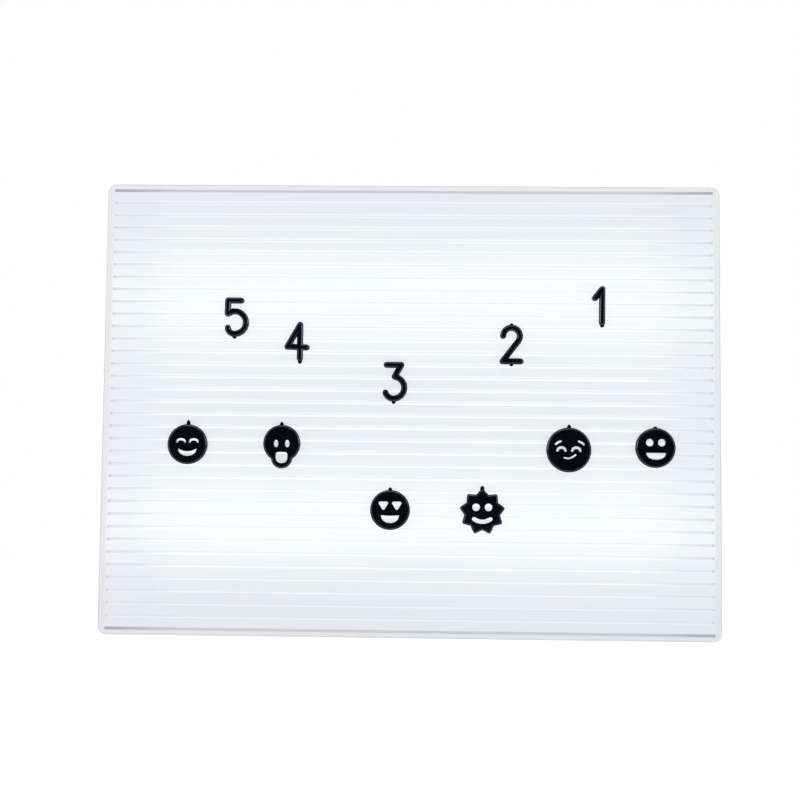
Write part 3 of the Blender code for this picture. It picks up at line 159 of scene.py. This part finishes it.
class Finish(Wiring):
    """A material with a Principled shader, and what its surface is made from."""

    def __init__(self, name):
        self.material = bpy.data.materials.new(name)
        self.material.use_nodes = True
        super().__init__(self.material.node_tree)
        self.shader = self.tree.nodes["Principled BSDF"]

    def place(self):
        """Object coordinates: metres in the frame of the whole box."""
        return self.node("ShaderNodeTexCoord").outputs["Object"]

    def noise(self, vector, size, detail=2.0, roughness=0.5, stretch=(1.0, 1.0, 1.0)):
        """Noise whose blobs are about the given size in metres."""
        scaled = self.node("ShaderNodeMapping")
        self.feed(scaled.inputs["Vector"], vector)
        scaled.inputs["Scale"].default_value = stretch
        node = self.node("ShaderNodeTexNoise")
        self.feed(node.inputs["Vector"], scaled.outputs[0])
        node.inputs["Scale"].default_value = 1.0 / size
        node.inputs["Detail"].default_value = detail
        node.inputs["Roughness"].default_value = roughness
        return node.outputs["Fac"]

    def bump(self, height, depth, strength=1.0):
        """Bumps the shader's normal by a height map of the given depth in metres."""
        node = self.node("ShaderNodeBump")
        node.inputs["Strength"].default_value = strength
        node.inputs["Distance"].default_value = depth
        self.feed(node.inputs["Height"], height)
        self.feed(self.shader.inputs["Normal"], node.outputs["Normal"])

    def set(self, **values):
        """Sets or links the shader's sockets, named with underscores for spaces."""
        for key, value in values.items():
            self.feed(self.shader.inputs[key.replace("_", " ")], value)


def near_edge(finish, out, edge, stretch):
    """Rises from 0 to 1 between two distances inwards from an edge."""
    return finish.step(out, edge - stretch[0], edge - stretch[1])


def rgba(colour):
    """A colour property as four numbers."""
    return (*colour, 1.0)


def dress(finish, *nodes):
    """Gives a finish to every material slot of some nodes of the model."""
    for name in nodes:
        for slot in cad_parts[name].material_slots:
            slot.material = finish.material


def numbered(stem):
    """Names of the model's nodes that start with a stem."""
    return [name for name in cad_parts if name.startswith(stem)]


# Sizes and colours that a user would change

class PanelLook(PropertyGroup):
    """The grooved opal front."""
    colour: FloatVectorProperty(
        name="Plastic", description="Colour of the opal moulding under studio light",
        subtype="COLOR", size=3, default=(0.24, 0.242, 0.248), min=0, max=1)
    dim_glow: FloatVectorProperty(
        name="Dim Glow", description="Light through the panel between the lamp rows",
        subtype="COLOR", size=3, default=(0.644, 0.658, 0.720), min=0, max=1)
    bright_glow: FloatVectorProperty(
        name="Bright Glow", description="Light through the panel over a lamp row",
        subtype="COLOR", size=3, default=(0.769, 0.785, 0.798), min=0, max=1)
    foot_glow: FloatVectorProperty(
        name="Foot Glow", description="Light through the panel at its foot",
        subtype="COLOR", size=3, default=(0.586, 0.592, 0.634), min=0, max=1)
    groove_glow: FloatVectorProperty(
        name="Groove Glow", description="Light at the bottom of a groove",
        subtype="COLOR", size=3, default=(0.845, 0.865, 0.867), min=0, max=1)
    corner_glow: FloatVectorProperty(
        name="Corner Glow", description="Light in a groove at the panel's corners",
        subtype="COLOR", size=3, default=(0.615, 0.615, 0.737), min=0, max=1)
    rim_glow: FloatVectorProperty(
        name="Rim Glow", description="Light that leaks into the plain rim",
        subtype="COLOR", size=3, default=(0.614, 0.619, 0.636), min=0, max=1)
    # Painted shade: a dimmer light on the rim's rounded edge, where it turns away, for a thin grey line round
    # the silhouette.
    shaded_outline_glow: FloatVectorProperty(
        name="Outline Glow", description="Light left in the rim's rounded edge",
        subtype="COLOR", size=3, default=(0.38, 0.38, 0.38), min=0, max=1)
    skirt_glow: FloatVectorProperty(
        name="Skirt Glow", description="Light in the skirt round the panel's edge",
        subtype="COLOR", size=3, default=(0.46, 0.465, 0.475), min=0, max=1)
    band_spread: FloatProperty(
        name="Band Spread", description="Half height of the bright band over a lamp row",
        subtype="DISTANCE", unit="LENGTH", default=0.026, min=0.001)
    band_drop: FloatProperty(
        name="Band Drop", description="How far the bright band lies below its lamp row",
        subtype="DISTANCE", unit="LENGTH", default=0.002)
    side_fade: FloatProperty(
        name="Side Fade", description="Width of the duller stretch at each side and at the top",
        subtype="DISTANCE", unit="LENGTH", default=0.040, min=0.005)
    foot_fade: FloatProperty(
        name="Foot Fade", description="Height of the duller stretch at the foot",
        subtype="DISTANCE", unit="LENGTH", default=0.054, min=0.005)
    groove_pitch: FloatProperty(
        name="Groove Pitch", description="Distance from one groove to the next",
        subtype="DISTANCE", unit="LENGTH", default=0.006106, min=0.001)
    groove_margin: FloatProperty(
        name="Groove Margin", description="From the top edge to the first groove's middle",
        subtype="DISTANCE", unit="LENGTH", default=0.00315, min=0)
    rim: FloatProperty(
        name="Rim", description="Width of the plain rim round the grooves",
        subtype="DISTANCE", unit="LENGTH", default=0.0033, min=0)
    corner: FloatProperty(
        name="Corner", description="Radius of the panel's outline at its corners",
        subtype="DISTANCE", unit="LENGTH", default=0.004, min=0)


class CharacterLook(PropertyGroup):
    """The push-in digits and faces."""
    colour: FloatVectorProperty(name="Plastic", description="Colour of the black moulding", subtype="COLOR",
                                size=3, default=(0.0013, 0.0025, 0.0048), min=0, max=1)
    roughness: FloatProperty(name="Roughness", description="How dull the gloss is", subtype="FACTOR",
                             default=0.15, min=0, max=1)


class HousingLook(PropertyGroup):
    """The rear housing and the battery door."""
    colour: FloatVectorProperty(name="Plastic", description="Colour of the white moulding", subtype="COLOR",
                                size=3, default=(0.80, 0.80, 0.81), min=0, max=1)
    grain: FloatProperty(name="Grain", description="Size of the spark-eroded grain", subtype="DISTANCE",
                         unit="LENGTH", default=0.0006, min=0.0001)


class PowerLook(PropertyGroup):
    """Cells, contacts, wires, boards and lamps."""
    sleeve: FloatVectorProperty(name="Cell Sleeve", description="Colour of the cells' plain sleeve",
                                subtype="COLOR", size=3, default=(0.05, 0.07, 0.11), min=0, max=1)
    steel: FloatVectorProperty(name="Steel", description="Colour of the plated steel", subtype="COLOR",
                               size=3, default=(0.62, 0.62, 0.63), min=0, max=1)
    lamp: FloatVectorProperty(name="Lamp", description="Colour of the light of each lamp", subtype="COLOR",
                              size=3, default=(0.90, 0.94, 1.0), min=0, max=1)


class StageLook(PropertyGroup):
    """Floor, lamps and camera."""
    floor: FloatVectorProperty(name="Floor", description="Colour of the floor", subtype="COLOR", size=3,
                               default=(0.60, 0.60, 0.60), min=0, max=1)
    ambient: FloatVectorProperty(name="Ambient", description="Dim light from all round", subtype="COLOR",
                                 size=3, default=(0.198, 0.202, 0.22), min=0, max=1)
    front: FloatVectorProperty(name="Dark Front", description="What the gloss mirrors in front of the box",
                               subtype="COLOR", size=3, default=(0.012, 0.014, 0.018), min=0, max=1)
    key_watts: FloatProperty(name="Side Lamps", description="Power of each large lamp beside the box",
                             unit="POWER", default=2.6, min=0)
    top_watts: FloatProperty(name="Top Lamp", description="Power of the lamp above the box",
                             unit="POWER", default=3.3, min=0)
    distance: FloatProperty(name="Camera Distance", description="From the lit front to the camera",
                            subtype="DISTANCE", unit="LENGTH", default=0.5379, min=0.1)
    lens: FloatProperty(name="Lens", description="Focal length for a 36 mm wide sensor, in millimetres",
                        default=50.0, min=10)


# The model's own pieces

class LIGHTBOX_OT_letter_panel(Operator):
    """Finish the opal front so that it glows as it does over two rows of lamps"""
    bl_idname = "lightbox.letter_panel"
    bl_label = "Letter Panel"

    def execute(self, context):
        look = context.scene.lightbox_panel
        finish = Finish("opal_lit_panel")
        place = finish.place()
        x, y, z = finish.axes(place)
        out = finish.math("ABSOLUTE", x)
        rise = finish.math("ABSOLUTE", finish.math("SUBTRACT", z, PANEL_MIDDLE))
        near_side = near_edge(finish, out, PANEL_HIGH[0], (look.side_fade, FADE_END))
        near_top = near_edge(finish, z, PANEL_HIGH[2], (look.side_fade, FADE_END))
        near_foot = finish.step(z, PANEL_LOW[2] + look.foot_fade, PANEL_LOW[2] + FADE_END)

        # The panel's light is painted: emission stands in for the lamp rows' light through the opal, and is
        # strong against the plastic's colour so that it fills the shade round the characters.
        slats = self.slat_light(finish, look, place, out, z)
        dull = finish.math("MAXIMUM", near_foot, finish.math("MULTIPLY", near_top, 0.4))
        slats = finish.mix(dull, slats, rgba(look.foot_glow))
        lost = finish.math("MULTIPLY_ADD", near_top, 0.5, finish.math("MULTIPLY", near_foot, 0.95))
        lost = finish.math("MULTIPLY_ADD", near_side, 0.95, lost)
        grooves = self.groove_light(finish, look, z, lost)
        ends = near_edge(finish, out, PANEL_HIGH[0], (GROOVE_ENDS, look.rim))
        grooves = finish.mix(ends, grooves, END_LIGHT)
        outer_rows = near_edge(finish, rise, PANEL_HALF_HEIGHT, OUTER_GROOVES)
        grooves = finish.mix(outer_rows, grooves, finish.mix(near_side, OUTER_LIGHT, OUTER_CORNER_LIGHT))

        rim = finish.math("MAXIMUM", near_edge(finish, out, PANEL_HIGH[0], SIDE_RIM),
                          near_edge(finish, rise, PANEL_HALF_HEIGHT, TOP_RIM))
        # Painted shade: at the foot the rim's light is a tenth lower, to darken the rim where the pale floor
        # lights it from below.
        rim_light_shaded_at_foot = finish.mix(near_foot, rgba(look.rim_glow), rgba([c * 0.90 for c in look.rim_glow]))
        # Painted shade: on the rounded edge the front's light drops to the outline glow, and behind the front
        # to the skirt glow.
        outline = self.outline(finish, look, out, rise)
        front = finish.mix(outline, finish.mix(rim, slats, rim_light_shaded_at_foot), rgba(look.shaded_outline_glow))
        behind = finish.mix(outline, grooves, rgba(look.skirt_glow))
        mouth = [PANEL_LOW[1] + depth for depth in GROOVE_MOUTH]
        inside = finish.step(y, *mouth, smooth=False)

        grain = finish.noise(place, 0.0009, detail=3.0)
        finish.set(Base_Color=finish.mix(grain, rgba([c * 0.97 for c in look.colour]), rgba(look.colour)),
                   Roughness=finish.math("MULTIPLY_ADD", grain, 0.10, 0.34), Specular_IOR_Level=0.35,
                   Emission_Color=finish.mix(inside, front, behind), Emission_Strength=1.0)
        finish.bump(grain, 0.00002)
        dress(finish, "letter_panel")
        return {"FINISHED"}

    def slat_light(self, finish, look, place, out, z):
        """Light through the slats: a soft bright band over each lamp row, clouded and duller outwards."""
        bands = None
        for height in STRIP_HEIGHTS:
            offset = finish.math("SUBTRACT", z, height - look.band_drop)
            away = finish.math("DIVIDE", offset, look.band_spread)
            fall = finish.math("MULTIPLY", finish.math("POWER", away, 2.0), -1.0)
            band = finish.math("POWER", math.e, fall)
            bands = band if bands is None else finish.math("ADD", bands, band, clamp=True)
        cloud = finish.math("SUBTRACT", finish.noise(place, 0.05, detail=1.0), 0.5)
        bands = finish.math("ADD", bands, finish.math("MULTIPLY", cloud, 0.12))
        outwards = near_edge(finish, out, PANEL_HIGH[0], (OUTWARDS_FADE, FADE_END))
        kept = finish.math("SUBTRACT", 1.0, finish.math("MULTIPLY", outwards, 0.45))
        return finish.mix(finish.math("MULTIPLY", bands, kept), rgba(look.dim_glow), rgba(look.bright_glow))

    def groove_light(self, finish, look, z, lost):
        """Light in the grooves: pale floors with painted light that fills the walls' shade, painted shade on
        the roof under the slat above, lavender where light is lost.
        """
        lit = finish.math("SUBTRACT", 1.0, lost, clamp=True)
        floors = finish.mix(lit, rgba(look.corner_glow), rgba(look.groove_glow))
        # Painted shade: each roof, under the slat above, gets less light than the floor, whose light is raised
        # to fill the shade between the groove's walls.
        shaded_roofs = finish.mix(lit, DULL_SHADED_ROOF, BRIGHT_SHADED_ROOF)
        first = PANEL_HIGH[2] - look.groove_margin
        row = finish.math("DIVIDE", finish.math("SUBTRACT", first, z), look.groove_pitch)
        below = finish.math("SUBTRACT", row, finish.math("ROUND", row))
        return finish.mix(finish.step(below, -0.08, 0.10), shaded_roofs, floors)

    def outline(self, finish, look, out, rise):
        """Rises to 1 on the rounded edge of the panel's round-cornered outline, where its light is dimmed as
        painted shade.
        """
        across = finish.math("MAXIMUM", finish.math("SUBTRACT", out, PANEL_HIGH[0] - look.corner), 0.0)
        along = finish.math("MAXIMUM", finish.math("SUBTRACT", rise, PANEL_HALF_HEIGHT - look.corner), 0.0)
        squares = finish.math("MULTIPLY_ADD", across, across, finish.math("MULTIPLY", along, along))
        return near_edge(finish, finish.math("SQRT", squares), look.corner, ROUNDED_EDGE)


class LIGHTBOX_OT_characters(Operator):
    """Finish the push-in digits and faces in glossy black plastic"""
    bl_idname = "lightbox.characters"
    bl_label = "Digits and Faces"

    def execute(self, context):
        look = context.scene.lightbox_characters
        finish = Finish("gloss_black_moulding")
        place = finish.place()
        flow = finish.noise(place, 0.004, detail=2.0)
        finish.set(Base_Color=finish.mix(flow, rgba(look.colour), rgba([c * 1.5 for c in look.colour])),
                   Roughness=finish.math("MULTIPLY_ADD", flow, 0.04, look.roughness - 0.02),
                   Specular_IOR_Level=0.80, Specular_Tint=(0.46, 0.56, 1.0, 1.0))
        finish.bump(finish.noise(place, 0.0012, detail=2.0), 0.000006)
        dress(finish, *numbered("digit_"), *numbered("face_"))
        return {"FINISHED"}


class LIGHTBOX_OT_housing(Operator):
    """Finish the rear housing and the battery door in fine-grained white plastic"""
    bl_idname = "lightbox.housing"
    bl_label = "Rear Housing"

    def execute(self, context):
        look = context.scene.lightbox_housing
        for name, nodes, shade in (("white_housing_moulding", ("rear_housing",), 1.0),
                                   ("white_door_moulding", ("battery_door",), 0.985)):
            finish = Finish(name)
            place = finish.place()
            grain = finish.noise(place, look.grain, detail=2.5, roughness=0.6)
            cloud = finish.noise(place, 0.06, detail=1.0)
            colour = [c * shade for c in look.colour]
            finish.set(Base_Color=finish.mix(cloud, rgba([c * 0.97 for c in colour]), rgba(colour)),
                       Roughness=finish.math("MULTIPLY_ADD", grain, 0.16, 0.38), Specular_IOR_Level=0.4)
            finish.bump(grain, 0.00004)
            dress(finish, *nodes)
        return {"FINISHED"}


class LIGHTBOX_OT_light_strips(Operator):
    """Finish the lamp boards in white with tinned pads, and light their lamps"""
    bl_idname = "lightbox.light_strips"
    bl_label = "Light Strips"

    def execute(self, context):
        look = context.scene.lightbox_power
        board = Finish("white_strip_board")
        place = board.place()
        weave = board.noise(place, 0.0015, detail=2.0)
        x = board.axes(place)[0]
        pitch = board.math("PINGPONG", board.math("ADD", x, HALF_LED_PITCH), HALF_LED_PITCH)
        trace = board.step(pitch, HALF_LED_PITCH - 0.0045, HALF_LED_PITCH - 0.0041)
        board.set(Base_Color=board.mix(trace, (0.80, 0.81, 0.79, 1), (0.70, 0.70, 0.66, 1)),
                  Roughness=board.math("MULTIPLY_ADD", weave, 0.1, 0.35))
        board.bump(weave, 0.00002)
        dress(board, "light_strip_lower", "light_strip_upper")

        lamp = Finish("lit_lamp")
        grain = lamp.noise(lamp.place(), 0.0008)
        lamp.set(Base_Color=lamp.mix(grain, (0.90, 0.80, 0.45, 1), (0.95, 0.88, 0.60, 1)), Roughness=0.3,
                 Emission_Color=rgba(look.lamp), Emission_Strength=2.0)
        dress(lamp, *numbered("led_"))
        return {"FINISHED"}


class LIGHTBOX_OT_cells(Operator):
    """Finish the cells with a bare can, a crimp and a plain sleeve"""
    bl_idname = "lightbox.cells"
    bl_label = "Cells"

    def execute(self, context):
        look = context.scene.lightbox_power
        for index in (1, 2, 3):
            low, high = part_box(f"cell_{index}")
            finish = Finish(f"cell_sleeve_{index}")
            place = finish.place()
            z = finish.axes(place)[2]
            bare = finish.math("MAXIMUM", finish.step(z, low[2] + 0.0016, low[2] + 0.0012),
                               finish.step(z, high[2] - 0.0022, high[2] - 0.0018))
            scuff = finish.noise(place, 0.003, detail=3.0, stretch=(1, 1, 0.2))
            sleeve = finish.mix(scuff, rgba(look.sleeve), rgba([c * 1.4 for c in look.sleeve]))
            finish.set(Base_Color=finish.mix(bare, sleeve, rgba(look.steel)), Metallic=bare,
                       Roughness=finish.math("MULTIPLY_ADD", scuff, 0.12, 0.22))
            dress(finish, f"cell_{index}")
        return {"FINISHED"}


class LIGHTBOX_OT_metal(Operator):
    """Finish the screws, springs, contacts, switch case and socket in plated steel"""
    bl_idname = "lightbox.metal"
    bl_label = "Screws and Contacts"

    def execute(self, context):
        look = context.scene.lightbox_power
        finish = Finish("plated_steel")
        brushing = finish.noise(finish.place(), 0.0008, detail=3.0, stretch=(1, 1, 0.15))
        finish.set(Base_Color=finish.mix(brushing, rgba([c * 0.9 for c in look.steel]), rgba(look.steel)),
                   Metallic=1.0, Roughness=finish.math("MULTIPLY_ADD", brushing, 0.15, 0.22))
        finish.bump(brushing, 0.00001)
        dress(finish, *numbered("housing_screw"), *numbered("board_screw"), *numbered("contact_"),
              "switch_body", "charging_socket")
        return {"FINISHED"}


class LIGHTBOX_OT_electronics(Operator):
    """Finish the control board, the switch's knob and the wires"""
    bl_idname = "lightbox.electronics"
    bl_label = "Board, Switch and Wires"

    def execute(self, context):
        board = Finish("green_board_lacquer")
        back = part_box("control_board")[1][1]
        place = board.place()
        x, y, z = board.axes(place)
        tracks = board.node("ShaderNodeTexBrick")
        tracks.inputs["Scale"].default_value = 160.0
        tracks.inputs["Mortar Size"].default_value = 0.08
        tracks.inputs["Color1"].default_value = (0.02, 0.17, 0.07, 1)
        tracks.inputs["Color2"].default_value = (0.015, 0.14, 0.06, 1)
        tracks.inputs["Mortar"].default_value = (0.05, 0.26, 0.11, 1)
        flat = board.node("ShaderNodeCombineXYZ")
        board.feed(flat.inputs[0], x)
        board.feed(flat.inputs[1], z)
        board.feed(tracks.inputs["Vector"], flat.outputs[0])
        part = board.step(y, back - 0.0019, back - 0.0017)
        board.set(Base_Color=board.mix(part, (0.02, 0.02, 0.022, 1), tracks.outputs["Color"]),
                  Roughness=board.math("MULTIPLY_ADD", board.noise(place, 0.002), 0.15, 0.3))
        dress(board, "control_board")

        knob = Finish("black_switch_knob")
        grain = knob.noise(knob.place(), 0.0004, detail=2.0)
        knob.set(Base_Color=knob.mix(grain, (0.012, 0.012, 0.014, 1), (0.02, 0.02, 0.023, 1)),
                 Roughness=knob.math("MULTIPLY_ADD", grain, 0.12, 0.36))
        knob.bump(grain, 0.00002)
        dress(knob, "switch_knob")

        for colour, tone in (("red", (0.55, 0.02, 0.02)), ("black", (0.015, 0.015, 0.017))):
            wire = Finish(f"{colour}_wire_insulation")
            grain = wire.noise(wire.place(), 0.002, detail=2.0)
            wire.set(Base_Color=wire.mix(grain, rgba([c * 0.85 for c in tone]), rgba(tone)),
                     Roughness=wire.math("MULTIPLY_ADD", grain, 0.1, 0.38))
            dress(wire, *[name for name in numbered("wire_") if name.endswith(colour)])
        return {"FINISHED"}


# Stage

def seen_directly(wiring):
    """1 for rays that show the surroundings: from the camera, in metal or gloss, and through glass."""
    shown = wiring.math("MAXIMUM", wiring.ray("Camera"), wiring.ray("Glossy"))
    return wiring.math("MAXIMUM", shown, wiring.ray("Transmission"))


def aim(item, place, target):
    """Puts a lamp at a place and points it at a target."""
    item.location = place
    item.rotation_euler = (Vector(target) - Vector(place)).to_track_quat("-Z", "Y").to_euler()


class LIGHTBOX_OT_stage(Operator):
    """Build the floor, the soft lamps, the white surroundings and the camera"""
    bl_idname = "lightbox.stage"
    bl_label = "Stage"

    def execute(self, context):
        look = context.scene.lightbox_stage
        scene = context.scene
        scene.view_settings.view_transform = "Standard"
        self.make_floor(scene, look)
        self.make_world(scene, look)
        self.make_lamps(scene, look)
        self.make_camera(scene, look)
        return {"FINISHED"}

    def make_floor(self, scene, look):
        """Pale paper that keeps the box's shadow, white farther off, and dark in the gloss of the front."""
        mesh = bpy.data.meshes.new("floor")
        corners = [(side * FLOOR_REACH, end * FLOOR_REACH, 0) for side, end in FLOOR_CORNERS]
        mesh.from_pydata(corners, [], [(0, 1, 2, 3)])
        floor = bpy.data.objects.new("floor", mesh)
        scene.collection.objects.link(floor)
        finish = Finish("pale_floor")
        place = finish.place()
        paper = finish.noise(place, 0.01, detail=3.0)
        finish.set(Base_Color=finish.mix(paper, rgba([c * 0.98 for c in look.floor]), rgba(look.floor)),
                   Roughness=0.9, Specular_IOR_Level=0.1, Emission_Color=WHITE, Emission_Strength=0.62)
        x, y = finish.axes(place)[:2]
        squares = finish.math("ADD", finish.math("MULTIPLY", x, x), finish.math("MULTIPLY", y, y))
        far = finish.step(finish.math("SQRT", squares), BOX_HIGH[0] * 1.5, BOX_HIGH[0] * 3.5)
        shown = finish.math("MULTIPLY", far, seen_directly(finish))
        whiter = finish.blend(shown, finish.shader.outputs[0], finish.light(WHITE))
        mirrored = finish.math("MULTIPLY", finish.step(y, *DARK_CARD), finish.ray("Glossy"))
        whole = finish.blend(mirrored, whiter, finish.light(rgba(look.front)))
        finish.feed(finish.tree.nodes["Material Output"].inputs[0], whole)
        mesh.materials.append(finish.material)

    def make_world(self, scene, look):
        """White behind the box, dark before it so that the black pieces stay black, and dim soft light."""
        world = bpy.data.worlds.new("studio")
        scene.world = world
        world.use_nodes = True
        sky = Wiring(world.node_tree)
        direction = sky.axes(sky.node("ShaderNodeTexCoord").outputs["Generated"])
        room = sky.mix(sky.step(direction[1], -0.35, 0.0), rgba(look.front), WHITE)
        lit = sky.mix(sky.ray("Diffuse"), room, rgba(look.ambient))
        sky.feed(sky.tree.nodes["Background"].inputs["Color"], sky.mix(sky.ray("Camera"), lit, WHITE))

    def make_lamps(self, scene, look):
        """Large soft lamps at both sides, above and behind."""
        centre = (0.0, 0.0, BOX_HIGH[2] / 2)
        lamps = (("lamp_left", (-0.95, -0.34, 0.42), 0.55, look.key_watts),
                 ("lamp_right", (0.95, -0.34, 0.42), 0.55, look.key_watts),
                 ("lamp_top", (0.0, -0.30, 1.0), 0.9, look.top_watts),
                 ("lamp_back", (0.2, 1.0, 0.7), 0.8, look.top_watts))
        for name, place, size, watts in lamps:
            light = bpy.data.lights.new(name, "AREA")
            light.shape = "SQUARE"
            light.size = size
            light.energy = watts
            lamp = bpy.data.objects.new(name, light)
            scene.collection.objects.link(lamp)
            aim(lamp, place, centre)

    def make_camera(self, scene, look):
        """The camera at the photograph's viewing angle."""
        data = bpy.data.cameras.new("camera")
        data.sensor_width = 36.0
        data.lens = look.lens
        data.clip_start = 0.01
        camera = bpy.data.objects.new("camera", data)
        scene.collection.objects.link(camera)
        camera.location = (CAMERA_ASIDE, PANEL_LOW[1] - look.distance, CAMERA_HEIGHT)
        camera.rotation_euler = Euler([math.radians(angle) for angle in CAMERA_TURN])
        scene.camera = camera


class LIGHTBOX_PT_sidebar(Panel):
    """Sizes, colours and build steps of the light box"""
    bl_idname = "LIGHTBOX_PT_sidebar"
    bl_label = "Letter Light Box"
    bl_space_type = "VIEW_3D"
    bl_region_type = "UI"
    bl_category = "Light Box"

    def draw(self, context):
        for attribute in GROUPS:
            group = getattr(context.scene, attribute)
            box = self.layout.box()
            for key in group.__annotations__:
                box.prop(group, key)
        for step in STEPS:
            self.layout.operator(step.bl_idname)


GROUPS = {"lightbox_panel": PanelLook, "lightbox_characters": CharacterLook, "lightbox_housing": HousingLook,
          "lightbox_power": PowerLook, "lightbox_stage": StageLook}
STEPS = (LIGHTBOX_OT_letter_panel, LIGHTBOX_OT_characters, LIGHTBOX_OT_housing, LIGHTBOX_OT_light_strips,
         LIGHTBOX_OT_cells, LIGHTBOX_OT_metal, LIGHTBOX_OT_electronics, LIGHTBOX_OT_stage)


def register():
    """Registers the settings, the steps and the panel."""
    for group in GROUPS.values():
        bpy.utils.register_class(group)
    for attribute, group in GROUPS.items():
        setattr(bpy.types.Scene, attribute, PointerProperty(type=group))
    for step in (*STEPS, LIGHTBOX_PT_sidebar):
        bpy.utils.register_class(step)


def unregister():
    """Takes away what register added."""
    for step in (LIGHTBOX_PT_sidebar, *reversed(STEPS)):
        bpy.utils.unregister_class(step)
    for attribute in GROUPS:
        delattr(bpy.types.Scene, attribute)
    for group in reversed(GROUPS.values()):
        bpy.utils.unregister_class(group)


def main():
    """Runs every step in order."""
    register()
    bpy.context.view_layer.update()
    for step in STEPS:
        group, name = step.bl_idname.split(".")
        getattr(getattr(bpy.ops, group), name)()


if __name__ == "__main__":
    main()
